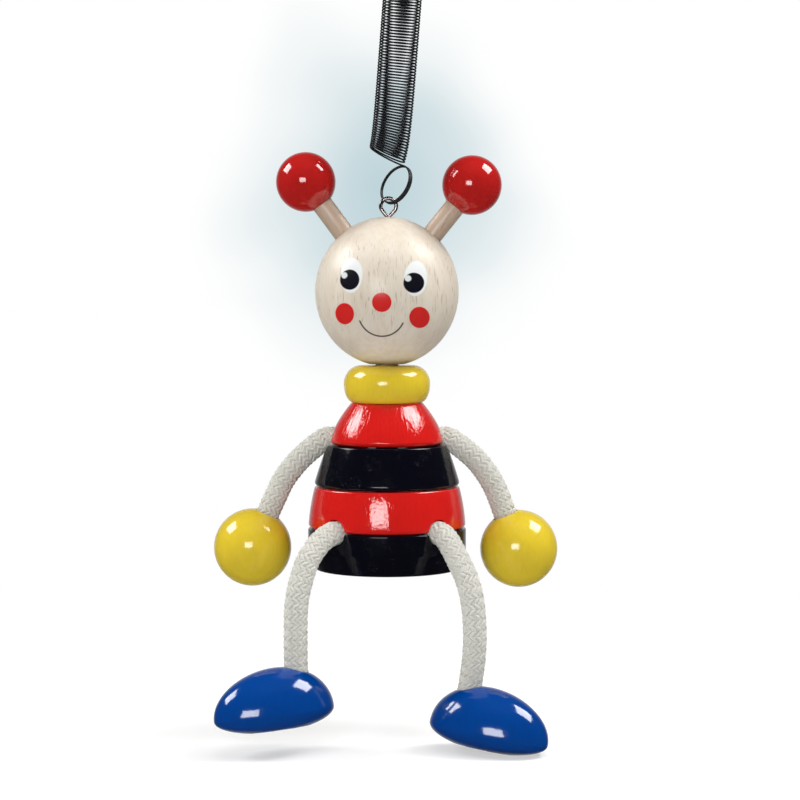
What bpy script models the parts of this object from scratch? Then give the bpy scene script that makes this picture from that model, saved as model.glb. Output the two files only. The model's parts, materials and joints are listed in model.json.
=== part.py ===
"""A hanging wooden spring toy: a figure of turned beech pieces with cord limbs, on one long wire spring.

The figure is laid out first in its own frame. There z = 0 is the flat underside of the lowest body ring,
the body's axis is x = y = 0, and the face looks along -Y. The finished part has its origin where the
spring's top loop hangs, so the figure lies below it. Left and right are the toy's own: its left is at +X.
Every length is in metres.
"""

import math

import bmesh
import bpy
import numpy as np
from mathutils import Matrix, Vector

MM = 0.001
DEG = math.pi / 180.0
X_AXIS = Vector((1.0, 0.0, 0.0))
Y_AXIS = Vector((0.0, 1.0, 0.0))
Z_AXIS = Vector((0.0, 0.0, 1.0))
SIDES = {"left": 1.0, "right": -1.0}

# Clearances
GLUE_LINE = 0.2 * MM  # between two pieces stacked on each other
BORE_GAP = 0.3 * MM  # all round a piece that is glued in its hole, and at its end
END_GAP = 0.3 * MM  # between the end faces of two lengths of one wire or cord
EYE_GAP = 0.3 * MM  # under the ring of the screw eye
LOOP_GAP = 0.34 * MM  # between the spring's end loop and the eye's wire
OVERCUT = 2.0 * MM  # how far a drill starts outside the piece

# Body: four rings and a collar on a centre dowel
RING_HEIGHT = 11.0 * MM  # with its glue line
RING_EDGE = 0.8 * MM
RING_RADII = {
    "body_ring_1": (9.0 * MM, 14.8 * MM),  # at the top and at the bottom
    "body_ring_2": (15.6 * MM, 18.7 * MM),
    "body_ring_3": (18.7 * MM, 20.6 * MM),
    "body_ring_4": (20.7 * MM, 19.2 * MM),
}
LOWEST_RING_STRAIGHT = 5.5 * MM  # the lowest ring's upright band, above its taper
COLLAR_RADIUS = 11.35 * MM
COLLAR_HEIGHT = 10.0 * MM
COLLAR_EDGE = 3.6 * MM
DOWEL_RADIUS = 3.0 * MM
DOWEL_FLOOR = 4.0 * MM  # wood left under the centre dowel
DOWEL_IN_HEAD = 12.0 * MM

# Head
HEAD_HALF_WIDTH = 18.9 * MM
HEAD_HALF_HEIGHT = 19.65 * MM
HEAD_FLAT_RADIUS = 4.9 * MM
ANTENNA_LEAN = {"left": 38.6 * DEG, "right": 36.5 * DEG}
ANTENNA_BARE = 9.1 * MM  # dowel that shows between the head and the ball
ANTENNA_DOWEL_RADIUS = 2.75 * MM
ANTENNA_IN_HEAD = 7.0 * MM
ANTENNA_IN_BALL = 5.0 * MM
ANTENNA_BALL_RADIUS = 7.7 * MM

# Limb cords, one braided cotton rope for all four
ROPE_DIAMETER = 6.3 * MM
ROPE_STEP = 5.2 * MM
CORD_LEAD = 0.8 * MM  # how far a free cord runs straight before it bends
ARM_RISE = 1.5 * MM  # from the joint under ring 1 up to the arm cords
ARM_EXIT = 16.2 * MM  # from the body's axis to where the arm cord is free
ARM_BORE_FLOOR = 5.0 * MM  # from the body's axis to the hole's end
LEG_EXIT = 21.1 * MM
LEG_BORE_FLOOR = 8.0 * MM
LEG_SPREAD = 41.0 * DEG  # from straight ahead
ARM_PIVOT = 2.0 * MM  # from the free cord's start to where it bends
LEG_PIVOT = 2.6 * MM
LIMB_BORE_DEPTH = 8.0 * MM
HAND_RADIUS = 10.0 * MM

# Each route starts where its cord is free, and its points are shares of the free length:
# outward, sideways (an arm's to the back, a leg's straight down its own plane), and up.
ARM_FREE = 25.0 * MM  # free length of an arm's cord
LEG_FREE = 40.0 * MM
ARM_ROUTE = {
    "left": (
        (0.128, -0.004, -0.084),
        (0.316, -0.020, -0.252),
        (0.480, -0.040, -0.496),
        (0.596, -0.060, -0.788),
    ),
    "right": (
        (0.128, -0.004, -0.092),
        (0.288, -0.020, -0.236),
        (0.436, -0.036, -0.424),
        (0.528, -0.048, -0.608),
        (0.604, -0.060, -0.776),
    ),
}
LEG_ROUTE = {
    "left": (
        (0.0725, 0.0, -0.0425),
        (0.1750, 0.0, -0.1650),
        (0.2600, 0.0, -0.2875),
        (0.3100, 0.0, -0.4375),
        (0.3275, 0.0, -0.6250),
        (0.3175, 0.0, -0.7750),
        (0.2825, 0.0, -0.9250),
    ),
    "right": (
        (0.0725, 0.0, -0.0225),
        (0.1475, 0.0, -0.0675),
        (0.2500, 0.0, -0.1750),
        (0.3350, 0.0, -0.3875),
        (0.3500, 0.0, -0.6125),
        (0.3475, 0.0, -0.8125),
    ),
}

# Feet: eggs cut flat under their long axis
FOOT_LENGTH = 31.4 * MM
FOOT_WIDTH = 19.0 * MM
FOOT_AXIS_HEIGHT = 4.4 * MM  # from the sole up to the egg's long axis
FOOT_TAPER = 0.08  # how much slimmer than an even egg the toe is, as a share
FOOT_HOLE = 7.2 * MM  # from the egg's middle back to the cord's hole
FOOT_TURN = 22.0 * DEG  # toes, forward from straight out sideways
FOOT_DIP = {"left": 8.0 * DEG, "right": 4.0 * DEG}  # toes, down from level
SOLE_EDGE = 0.6 * MM

# Screw eye
EYE_WIRE = 1.05 * MM
EYE_RING_RADIUS = 2.03 * MM  # to the middle of the wire
EYE_SIDE = 0.4 * MM  # from the body's axis
EYE_IN_HEAD = 8.0 * MM

# Spring, wound right-handed from one wire
SPRING_WIRE = 0.34 * MM
COIL_RADIUS = 4.95 * MM  # to the middle of the wire
COIL_PITCH = 0.76 * MM
COIL_TURNS = 56
LEANING_PITCH = 1.03 * MM
LEANING_TURNS = 6.5
COIL_LEAN = 4.4 * DEG  # the coil's top leans to the figure's left
LAST_TURN_SLOPE = 26.0 * DEG
TURN_POINTS = 8
LAST_TURN_RIGHT = 1.45 * MM  # the last turn's middle, from where the wire leaves it: to the right,
LAST_TURN_BACK = 2.4 * MM  # back
LAST_TURN_UP = 0.35 * MM  # and up
LOOP_RADIUS = 5.27 * MM
LOOP_PITCH = 0.76 * MM
LOOP_TURNS = 1.75
LOOP_POINTS = 16
LOOP_LEAN = 29.4 * DEG  # its long axis leans to the figure's left
LOOP_TWIST = 52.5 * DEG  # and its left edge is turned to the front
LOOP_SEAT = 171.0 * DEG  # round the loop, where it passes through the eye
LOOP_SEAT_BEARING = 105.0 * DEG  # round the eye's opening, from the figure's left
TOP_BEND = 1.2 * MM
TOP_LOOP_RADIUS = 5.27 * MM
TOP_LOOP_LIFT = 0.7 * MM  # over the coil's last turn
TOP_LOOP_SWEEP = 320.0 * DEG

TURNED_STEPS = 36
BORE_SIDES = 24
EMPTY_SIZE = 4.0 * MM
NEARLY_STRAIGHT = 170.0 * DEG  # a corner this open isn't rounded


def ring_base(name):
    """Height of a body ring's lower glue line: ring 4 is the lowest."""
    return (4 - int(name[-1])) * RING_HEIGHT


STACK_TOP = len(RING_RADII) * RING_HEIGHT
ARM_HEIGHT = ring_base("body_ring_1") + ARM_RISE
LEG_HEIGHT = ring_base("body_ring_3")
HEAD_BASE = STACK_TOP + COLLAR_HEIGHT
HEAD_DROP = HEAD_HALF_HEIGHT * math.sqrt(1.0 - (HEAD_FLAT_RADIUS / HEAD_HALF_WIDTH) ** 2)
HEAD_CENTRE = Vector((0.0, 0.0, HEAD_BASE + GLUE_LINE + HEAD_DROP))
HEAD_TOP = HEAD_CENTRE.z + HEAD_HALF_HEIGHT
EYE_CENTRE = Vector((EYE_SIDE, 0.0, HEAD_TOP + EYE_GAP + EYE_RING_RADIUS + EYE_WIRE / 2.0))
EYE_OPENING = EYE_RING_RADIUS - EYE_WIRE / 2.0


def smooth_step(x):
    x = min(max(x, 0.0), 1.0)
    return x * x * (3.0 - 2.0 * x)


def loop_axes():
    """The end loop's long axis, its cross axis and its normal, as unit vectors."""
    along = Vector((math.sin(LOOP_LEAN), 0.0, math.cos(LOOP_LEAN)))
    level = Vector((math.cos(LOOP_LEAN), 0.0, -math.sin(LOOP_LEAN)))
    across = math.cos(LOOP_TWIST) * level - math.sin(LOOP_TWIST) * Y_AXIS
    return along, across, along.cross(across)


def loop_offset(angle):
    """A point of the end loop's wire, from the loop's centre. Angle 0 is where the coil's wire comes in."""
    along, across, normal = loop_axes()
    round_it = math.cos(angle) * along + math.sin(angle) * across
    return LOOP_RADIUS * round_it + LOOP_PITCH * angle / math.tau * normal


def seated_wire():
    """Where the loop's first turn passes through the eye, in the plane of the eye."""
    reach = EYE_OPENING - LOOP_GAP - SPRING_WIRE / 2.0
    bearing = Vector((math.cos(LOOP_SEAT_BEARING), 0.0, math.sin(LOOP_SEAT_BEARING)))
    return EYE_CENTRE + reach * bearing


LOOP_CENTRE = seated_wire() - loop_offset(LOOP_SEAT)
LOOP_START = LOOP_CENTRE + loop_offset(0.0)


def tilted(slope):
    """The coil's axis and its level cross axis where its turns slope down to the figure's left."""
    axis = Vector((math.sin(slope), 0.0, math.cos(slope)))
    level = Vector((math.cos(slope), 0.0, -math.sin(slope)))
    return axis, level


def exit_angle():
    """Round the last turn, where the wire already runs the way the end loop starts."""
    across = loop_axes()[1]
    level = tilted(LAST_TURN_SLOPE)[1]
    return math.atan2(across.dot(level), -across.y)


def coil_points():
    """The wire's middle line from the end loop's start up to the top of the coil.

    Gives the points, with each one's turns above the start, and the middle of the topmost turn.
    """
    first_angle = exit_angle()
    whole = LEANING_TURNS + COIL_TURNS
    turns = whole + (0.5 - first_angle / math.tau - whole) % 1.0
    count = math.ceil(turns * TURN_POINTS - 1e-6)
    shift = Vector((-LAST_TURN_RIGHT, LAST_TURN_BACK, LAST_TURN_UP))
    axis, level = tilted(LAST_TURN_SLOPE)
    spoke = COIL_RADIUS * (math.cos(first_angle) * level + math.sin(first_angle) * Y_AXIS)
    middle = LOOP_START - spoke
    start = middle.copy()
    points, at_turn = [], []
    before = 0.0
    for i in range(count + 1):
        turn = min(i / TURN_POINTS, turns)
        share = min(turn / LEANING_TURNS, 1.0)
        slope = LAST_TURN_SLOPE + (COIL_LEAN - LAST_TURN_SLOPE) * share
        pitch = LEANING_PITCH if before < LEANING_TURNS else COIL_PITCH
        axis, level = tilted(slope)
        start = start + pitch * (turn - before) * axis
        before = turn
        middle = start + shift * smooth_step(2.0 * turn)
        angle = first_angle + math.tau * turn
        points.append(middle + COIL_RADIUS * (math.cos(angle) * level + math.sin(angle) * Y_AXIS))
        at_turn.append(turn)
    return points, at_turn, middle


COIL, COIL_AT_TURN, COIL_TOP_MIDDLE = coil_points()
COIL_AXIS = tilted(COIL_LEAN)[0]


def top_loop_points():
    """The coil's last point, a tight bend up, the loop's upright leg, and the loop round the coil's axis."""
    start = COIL[-1]
    lead = start - SPRING_WIRE * Y_AXIS
    points = [start, lead]
    for quarter in (30.0 * DEG, 60.0 * DEG, 90.0 * DEG):
        points.append(lead + TOP_BEND * Vector((0.0, -math.sin(quarter), 1.0 - math.cos(quarter))))
    leg = points[-1]
    centre = Vector((leg.x + TOP_LOOP_RADIUS, leg.y, start.z + TOP_LOOP_LIFT + TOP_LOOP_RADIUS))
    steps = round(LOOP_POINTS * TOP_LOOP_SWEEP / math.tau)
    for i in range(steps + 1):
        angle = math.pi - TOP_LOOP_SWEEP * i / steps
        points.append(centre + TOP_LOOP_RADIUS * Vector((math.cos(angle), 0.0, math.sin(angle))))
    return points, centre


TOP_LOOP, TOP_LOOP_CENTRE = top_loop_points()
HANGING_POINT = TOP_LOOP_CENTRE + (TOP_LOOP_RADIUS - SPRING_WIRE / 2.0) * Z_AXIS

# Where each joint's axis stands, in the figure's frame
STANDS = {
    "hanging_point": HANGING_POINT,
    "spring_axis": COIL_TOP_MIDDLE,
    "end_turns_axis": COIL_TOP_MIDDLE,
    "nod_axis": LOOP_START,
    "sway_axis": EYE_CENTRE + (EYE_OPENING - LOOP_GAP - SPRING_WIRE) * Z_AXIS,
}


def out_from_body(limb, side):
    """The level direction in which a limb's cord leaves the body."""
    if limb == "arm":
        return SIDES[side] * X_AXIS
    return Vector((SIDES[side] * math.sin(LEG_SPREAD), -math.cos(LEG_SPREAD), 0.0))


def limb_mouth(limb, side):
    """Where a limb's cord starts to be free."""
    reach, height = (ARM_EXIT, ARM_HEIGHT) if limb == "arm" else (LEG_EXIT, LEG_HEIGHT)
    return reach * out_from_body(limb, side) + height * Z_AXIS


def limb_route(limb, side):
    """The points that a limb's cord follows outside the body, in the figure's frame."""
    out = out_from_body(limb, side)
    sideways = Y_AXIS if limb == "arm" else Z_AXIS.cross(out)
    mouth = limb_mouth(limb, side)
    free, shares = (ARM_FREE, ARM_ROUTE[side]) if limb == "arm" else (LEG_FREE, LEG_ROUTE[side])
    return [mouth] + [mouth + free * (a * out + b * sideways + c * Z_AXIS) for a, b, c in shares]


for limb_name, pivot in (("arm", ARM_PIVOT), ("leg", LEG_PIVOT)):
    for side_name in SIDES:
        limb_start = limb_mouth(limb_name, side_name)
        STANDS[f"{side_name}_{limb_name}_swing_axis"] = limb_start
        STANDS[f"{side_name}_{limb_name}_lift_axis"] = limb_start + pivot * out_from_body(
            limb_name, side_name
        )


def collection(name):
    made = bpy.data.collections.new(name)
    bpy.context.scene.collection.children.link(made)
    return made


def material(name, colour, roughness, metallic=0.0):
    made = bpy.data.materials.new(name)
    made.use_nodes = True
    shader = made.node_tree.nodes["Principled BSDF"]
    shader.inputs["Base Color"].default_value = (*colour, 1.0)
    shader.inputs["Roughness"].default_value = roughness
    shader.inputs["Metallic"].default_value = metallic
    made.diffuse_color = (*colour, 1.0)
    return made


def stand(thing, parent, at, turn=None):
    """Puts an object where it belongs in the figure's frame, under the empty that moves it."""
    thing.parent = bpy.data.objects[parent]
    turn = turn or Matrix.Identity(4)
    thing.matrix_basis = Matrix.Translation(at - STANDS[parent]) @ turn


def add_empties(group):
    """The chain of joint axes, from the hanging point down to each limb."""
    chain = {
        "hanging_point": None,
        "spring_axis": "hanging_point",
        "end_turns_axis": "spring_axis",
        "nod_axis": "end_turns_axis",
        "sway_axis": "nod_axis",
    }
    for side in SIDES:
        for limb in ("arm", "leg"):
            chain[f"{side}_{limb}_swing_axis"] = "sway_axis"
            chain[f"{side}_{limb}_lift_axis"] = f"{side}_{limb}_swing_axis"
    for name, parent in chain.items():
        empty = bpy.data.objects.new(name, None)
        empty.empty_display_size = EMPTY_SIZE
        group.objects.link(empty)
        if parent:
            stand(empty, parent, STANDS[name])


def rounded(outline, radius, segments=3):
    """An outline of (radius, height) points with its inner corners rounded."""
    points = [Vector(p) for p in outline]
    made = [points[0]]
    for before, corner, after in zip(points, points[1:], points[2:]):
        to_before, to_after = (before - corner), (after - corner)
        half = to_before.angle(to_after) / 2.0
        if 2.0 * half > NEARLY_STRAIGHT:
            made.append(corner)
            continue
        room = 0.45 * min(to_before.length, to_after.length)
        back = min(radius / math.tan(half), room)
        round_radius = back * math.tan(half)
        to_before.normalize()
        to_after.normalize()
        centre = corner + (to_before + to_after).normalized() * round_radius / math.sin(half)
        first = corner + back * to_before - centre
        last = corner + back * to_after - centre
        for i in range(segments + 1):
            mixed = first.lerp(last, i / segments)
            made.append(centre + mixed.normalized() * round_radius)
    made.append(points[-1])
    return made


def turned(name, group, outline, finish, closed=False, steps=TURNED_STEPS):
    """A piece turned on a lathe: the outline runs down its outer side and spins about Z."""
    mesh = bpy.data.meshes.new(name)
    count = len(outline)
    edges = [(i, i + 1) for i in range(count - 1)]
    if closed:
        edges.append((count - 1, 0))
    mesh.from_pydata([(p[0], 0.0, p[1]) for p in outline], edges, [])
    made = bpy.data.objects.new(name, mesh)
    group.objects.link(made)
    mesh.materials.append(finish)
    spin = made.modifiers.new("turning", "SCREW")
    spin.steps = steps
    spin.render_steps = steps
    spin.use_merge_vertices = True
    spin.merge_threshold = 0.00001
    spin.use_smooth_shade = True
    return made


def from_bmesh(name, group, bm, finish):
    mesh = bpy.data.meshes.new(name)
    bm.to_mesh(mesh)
    bm.free()
    mesh.materials.append(finish)
    mesh.shade_smooth()
    mesh.set_sharp_from_angle(angle=40.0 * DEG)
    made = bpy.data.objects.new(name, mesh)
    group.objects.link(made)
    return made


def pointing(direction):
    """The turn that takes +Z to a direction."""
    return direction.to_track_quat("Z", "Y").to_matrix().to_4x4()


def drill(target, parent, start, end, radius):
    """Cuts a round hole between two points of the figure's frame."""
    bm = bmesh.new()
    length = (end - start).length
    bmesh.ops.create_cone(
        bm, cap_ends=True, segments=BORE_SIDES, radius1=radius, radius2=radius, depth=length
    )
    cutter = from_bmesh(f"{target.name}_drill", bpy.data.collections["cutters"], bm, None)
    cutter.hide_render = True
    cutter.display_type = "WIRE"
    stand(cutter, parent, (start + end) / 2.0, pointing(end - start))
    cut = target.modifiers.new("hole", "BOOLEAN")
    cut.operation = "DIFFERENCE"
    cut.object = cutter


def ball(name, group, radius, finish, segments, rings):
    bm = bmesh.new()
    bmesh.ops.create_uvsphere(bm, u_segments=segments, v_segments=rings, radius=radius)
    return from_bmesh(name, group, bm, finish)


def tube(name, group, points, radius, resolution, finish, parent):
    """A round wire, cord or dowel along points of the figure's frame."""
    curve = bpy.data.curves.new(name, "CURVE")
    curve.dimensions = "3D"
    curve.bevel_depth = radius
    curve.bevel_resolution = resolution
    curve.use_fill_caps = True
    spline = curve.splines.new("POLY")
    spline.points.add(len(points) - 1)
    spline.use_smooth = True
    origin = STANDS[parent]
    for slot, point in zip(spline.points, points):
        slot.co = (*(point - origin), 1.0)
    curve.materials.append(finish)
    made = bpy.data.objects.new(name, curve)
    group.objects.link(made)
    stand(made, parent, origin)
    return made


def smooth_line(points, step, first_way, last_way):
    """Points about a step apart on a smooth curve through the given ones, with set end directions."""
    padded = [points[0] - first_way * step, *points, points[-1] + last_way * step]
    fine = []
    for a, b, c, d in zip(padded, padded[1:], padded[2:], padded[3:]):
        for i in range(12):
            t = i / 12.0
            bend = (2.0 * a - 5.0 * b + 4.0 * c - d) * t * t + (3.0 * b - a - 3.0 * c + d) * t**3
            fine.append(0.5 * (2.0 * b + (c - a) * t + bend))
    fine.append(points[-1])
    run = [0.0]
    for one, other in zip(fine, fine[1:]):
        run.append(run[-1] + (other - one).length)
    count = max(2, round(run[-1] / step))
    wanted = np.linspace(0.0, run[-1], count + 1)
    line = np.array([tuple(p) for p in fine])
    return [Vector([np.interp(w, run, line[:, k]) for k in range(3)]) for w in wanted]


def trimmed(points, front, back):
    """The line with its two ends drawn in, along its first and its last run."""
    first = points[0] + front * (points[1] - points[0]).normalized()
    last = points[-1] + back * (points[-2] - points[-1]).normalized()
    return [first, *points[1:-1], last]


def straight_ends(points, length):
    """The line with one more point near each end, so that its end runs stay straight."""
    first = points[0] + length * (points[1] - points[0]).normalized()
    last = points[-1] + length * (points[-2] - points[-1]).normalized()
    return [points[0], first, *points[1:-1], last, points[-1]]


def make_rings(group, finishes):
    """The four body rings. The centre dowel passes through three and ends blind in the lowest."""
    hole = DOWEL_RADIUS + BORE_GAP
    for name, (top, bottom) in RING_RADII.items():
        height = RING_HEIGHT - GLUE_LINE
        finish = finishes["red_lacquer" if name[-1] in "13" else "black_lacquer"]
        if name == "body_ring_4":
            outer = [(hole, height), (top, height), (top, height - LOWEST_RING_STRAIGHT)]
            outer += [(bottom, 0.0), (0.0, 0.0)]
            outline = [(0.0, DOWEL_FLOOR), (hole, DOWEL_FLOOR)]
            outline += [tuple(p) for p in rounded(outer, RING_EDGE)]
            made = turned(name, group, outline, finish)
        else:
            outer = [(hole, height), (top, height), (bottom, 0.0), (hole, 0.0)]
            made = turned(name, group, rounded(outer, RING_EDGE), finish, closed=True)
        stand(made, "sway_axis", ring_base(name) * Z_AXIS)


def make_collar(group, finishes):
    hole = DOWEL_RADIUS + BORE_GAP
    height = COLLAR_HEIGHT - GLUE_LINE
    outer = [(hole, height), (COLLAR_RADIUS, height), (COLLAR_RADIUS, 0.0), (hole, 0.0)]
    outline = rounded(outer, COLLAR_EDGE, segments=5)
    made = turned("collar", group, outline, finishes["yellow_lacquer"], closed=True)
    stand(made, "sway_axis", (STACK_TOP + GLUE_LINE / 2.0) * Z_AXIS)


def make_head(group, finishes):
    """The turned head, flat where it sits on the collar, with its dowel hole from below."""
    hole = DOWEL_RADIUS + BORE_GAP
    lowest = -math.asin(HEAD_DROP / HEAD_HALF_HEIGHT)
    steps = 16
    outline = []
    for i in range(steps + 1):
        angle = math.pi / 2.0 + (lowest - math.pi / 2.0) * i / steps
        radius = HEAD_HALF_WIDTH * math.cos(angle) if i else 0.0
        outline.append((radius, HEAD_DROP + HEAD_HALF_HEIGHT * math.sin(angle)))
    ceiling = DOWEL_IN_HEAD + BORE_GAP
    outline += [(hole, 0.0), (hole, ceiling), (0.0, ceiling)]
    head = turned("head", group, outline, finishes["bare_beech"])
    stand(head, "sway_axis", (HEAD_BASE + GLUE_LINE) * Z_AXIS)
    return head


def make_centre_dowel(group, finishes):
    low = (DOWEL_FLOOR + BORE_GAP) * Z_AXIS
    high = (HEAD_BASE + GLUE_LINE + DOWEL_IN_HEAD) * Z_AXIS
    tube("centre_dowel", group, [low, high], DOWEL_RADIUS, 4, finishes["bare_beech"], "sway_axis")


def make_antenna(group, finishes, head, side):
    """A bare dowel glued into the head, and the ball glued on it."""
    lean = ANTENNA_LEAN[side]
    way = Vector((SIDES[side] * math.sin(lean), 0.0, math.cos(lean)))
    to_surface = 1.0 / math.hypot(
        math.sin(lean) / HEAD_HALF_WIDTH, math.cos(lean) / HEAD_HALF_HEIGHT
    )
    ball_start = to_surface + ANTENNA_BARE
    low = HEAD_CENTRE + (to_surface - ANTENNA_IN_HEAD) * way
    high = HEAD_CENTRE + (ball_start + ANTENNA_IN_BALL) * way
    wood = finishes["bare_beech"]
    tube(f"{side}_antenna_dowel", group, [low, high], ANTENNA_DOWEL_RADIUS, 4, wood, "sway_axis")
    hole = ANTENNA_DOWEL_RADIUS + BORE_GAP
    outside = HEAD_CENTRE + (to_surface + OVERCUT) * way
    drill(head, "sway_axis", low - BORE_GAP * way, outside, hole)
    name = f"{side}_antenna_ball"
    made = ball(name, group, ANTENNA_BALL_RADIUS, finishes["red_lacquer"], 22, 12)
    stand(made, "sway_axis", HEAD_CENTRE + (ball_start + ANTENNA_BALL_RADIUS) * way, pointing(way))
    below = HEAD_CENTRE + (ball_start - OVERCUT) * way
    drill(made, "sway_axis", below, high + BORE_GAP * way, hole)


def make_screw_eye(group, finishes, head):
    """The eye's wire: up its shank, round the ring, and down to the shank again."""
    shank = EYE_CENTRE - (EYE_RING_RADIUS + EYE_WIRE) * Z_AXIS
    bottom = Vector((EYE_CENTRE.x, 0.0, HEAD_TOP - EYE_IN_HEAD))
    points = [bottom, shank]
    first, last = -62.0 * DEG, 215.0 * DEG
    steps = 15
    for i in range(steps + 1):
        angle = first + (last - first) * i / steps
        points.append(EYE_CENTRE + EYE_RING_RADIUS * Vector((math.cos(angle), 0.0, math.sin(angle))))
    beside = EYE_WIRE + EYE_GAP
    points.append(EYE_CENTRE + Vector((-beside, 0.0, 0.15 * EYE_WIRE - EYE_RING_RADIUS)))
    tube("screw_eye", group, points, EYE_WIRE / 2.0, 2, finishes["nickel"], "sway_axis")
    outside = EYE_CENTRE.copy()
    drill(head, "sway_axis", bottom - BORE_GAP * Z_AXIS, outside, EYE_WIRE / 2.0 + BORE_GAP)


def make_hand(group, finishes, side, entry, way):
    made = ball(f"{side}_hand", group, HAND_RADIUS, finishes["yellow_lacquer"], 24, 14)
    parent = f"{side}_arm_lift_axis"
    stand(made, parent, entry + HAND_RADIUS * way, pointing(-way))
    drill(made, parent, entry - OVERCUT * way, entry + LIMB_BORE_DEPTH * way, bore_radius())


def bore_radius():
    return ROPE_DIAMETER / 2.0 + BORE_GAP


def foot_turn(side):
    """How a foot stands: its toe points out and a little forward, and dips."""
    yaw = -FOOT_TURN if side == "left" else math.pi + FOOT_TURN
    return Matrix.Rotation(yaw, 4, "Z") @ Matrix.Rotation(FOOT_DIP[side], 4, "Y")


def foot_top(back):
    """The foot's height above its sole, at a distance behind the egg's middle."""
    share = back / (FOOT_LENGTH / 2.0)
    half_width = FOOT_WIDTH / 2.0 * math.sqrt(1.0 - share * share) * (1.0 + FOOT_TAPER * share)
    return FOOT_AXIS_HEIGHT + half_width


def make_foot(group, finishes, side, entry):
    """An egg cut flat under its long axis, and drilled square to its sole."""
    bm = bmesh.new()
    bmesh.ops.create_uvsphere(bm, u_segments=26, v_segments=14, radius=1.0)
    for corner in bm.verts:
        slim = 1.0 - FOOT_TAPER * corner.co.x
        corner.co.x *= FOOT_LENGTH / 2.0
        corner.co.y *= FOOT_WIDTH / 2.0 * slim
        corner.co.z *= FOOT_WIDTH / 2.0 * slim
        corner.co.z += FOOT_AXIS_HEIGHT
    everything = bm.verts[:] + bm.edges[:] + bm.faces[:]
    cut = bmesh.ops.bisect_plane(
        bm, geom=everything, dist=1e-7, plane_co=(0.0, 0.0, 0.0), plane_no=(0.0, 0.0, 1.0),
        clear_inner=True,
    )
    rim = [e for e in cut["geom_cut"] if isinstance(e, bmesh.types.BMEdge)]
    bmesh.ops.contextual_create(bm, geom=rim)
    bmesh.ops.recalc_face_normals(bm, faces=bm.faces[:])
    rim = [e for e in bm.edges if all(abs(v.co.z) < 1e-7 for v in e.verts)]
    bmesh.ops.bevel(
        bm, geom=rim, offset=SOLE_EDGE, segments=2, profile=0.5, affect="EDGES", material=-1
    )
    made = from_bmesh(f"{side}_foot", group, bm, finishes["blue_lacquer"])
    turn = foot_turn(side)
    top = foot_top(FOOT_HOLE)
    origin = entry - turn @ Vector((-FOOT_HOLE, 0.0, top))
    parent = f"{side}_leg_lift_axis"
    stand(made, parent, origin, turn)
    up = turn.to_3x3() @ Z_AXIS
    drill(made, parent, entry + OVERCUT * up, entry - LIMB_BORE_DEPTH * up, bore_radius())


def make_limb(group, finishes, limb, side, upper_ring, lower_ring):
    """One limb: the cord's glued end in the body, its free length, and the hand or foot on it."""
    out = out_from_body(limb, side)
    route = limb_route(limb, side)
    floor = ARM_BORE_FLOOR if limb == "arm" else LEG_BORE_FLOOR
    height = route[0].z * Z_AXIS
    root_end = (floor + BORE_GAP) * out + height
    cotton = finishes["cotton_cord"]
    radius = ROPE_DIAMETER / 2.0
    parent = f"{side}_{limb}_swing_axis"
    tube(f"{side}_{limb}_cord_root", group, [root_end, route[0]], radius, 3, cotton, parent)
    for ring in (upper_ring, lower_ring):
        drill(ring, "sway_axis", floor * out + height, route[0] + OVERCUT * out, bore_radius())
    entry = route[-1]
    if limb == "arm":
        into = (route[-1] - route[-2]).normalized()
    else:
        into = -(foot_turn(side).to_3x3() @ Z_AXIS)
    start = route[0] + END_GAP * out
    line = smooth_line([start, *route[1:]], ROPE_STEP, out, into)
    line.insert(1, start + CORD_LEAD * out)
    line.append(entry + (LIMB_BORE_DEPTH - BORE_GAP) * into)
    tube(f"{side}_{limb}_cord", group, line, radius, 3, cotton, f"{side}_{limb}_lift_axis")
    if limb == "arm":
        make_hand(group, finishes, side, entry, into)
    else:
        make_foot(group, finishes, side, entry)


def make_spring(group, finishes):
    """One wire in four lengths: top loop, straight coil, leaning end turns and end loop."""
    steel = finishes["black_steel"]
    radius = SPRING_WIRE / 2.0
    half = END_GAP / 2.0
    split = next(i for i, turn in enumerate(COIL_AT_TURN) if turn >= LEANING_TURNS)
    end_turns = straight_ends(trimmed(COIL[: split + 1], half, half), SPRING_WIRE)
    coil = straight_ends(trimmed(COIL[split:], half, half), SPRING_WIRE)
    steps = round(LOOP_POINTS * LOOP_TURNS)
    loop = [LOOP_CENTRE + loop_offset(math.tau * LOOP_TURNS * i / steps) for i in range(steps + 1)]
    lengths = {
        "spring_top_loop": (trimmed(TOP_LOOP, half, 0.0), "hanging_point"),
        "spring_coil": (coil, "spring_axis"),
        "spring_end_turns": (end_turns, "end_turns_axis"),
        "spring_end_loop": (trimmed(loop, half, 0.0), "nod_axis"),
    }
    for name, (points, parent) in lengths.items():
        tube(name, group, points, radius, 1, steel, parent)
        print(f"{name}: least gap to itself {least_gap(points, SPRING_WIRE) / MM:.3f} mm")


def least_gap(points, wire):
    """The narrowest gap between parts of one wire that are more than a coil's radius apart along it."""
    fine, run = [], [0.0]
    for one, other in zip(points, points[1:]):
        fine += [one.lerp(other, i / 6.0) for i in range(6)]
    line = np.array([tuple(p) for p in fine])
    for step in np.linalg.norm(np.diff(line, axis=0), axis=1):
        run.append(run[-1] + step)
    run = np.array(run)
    least = math.inf
    for i in range(len(line)):
        far = run > run[i] + COIL_RADIUS
        if far.any():
            least = min(least, np.linalg.norm(line[far] - line[i], axis=1).min())
    return least - wire


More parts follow.
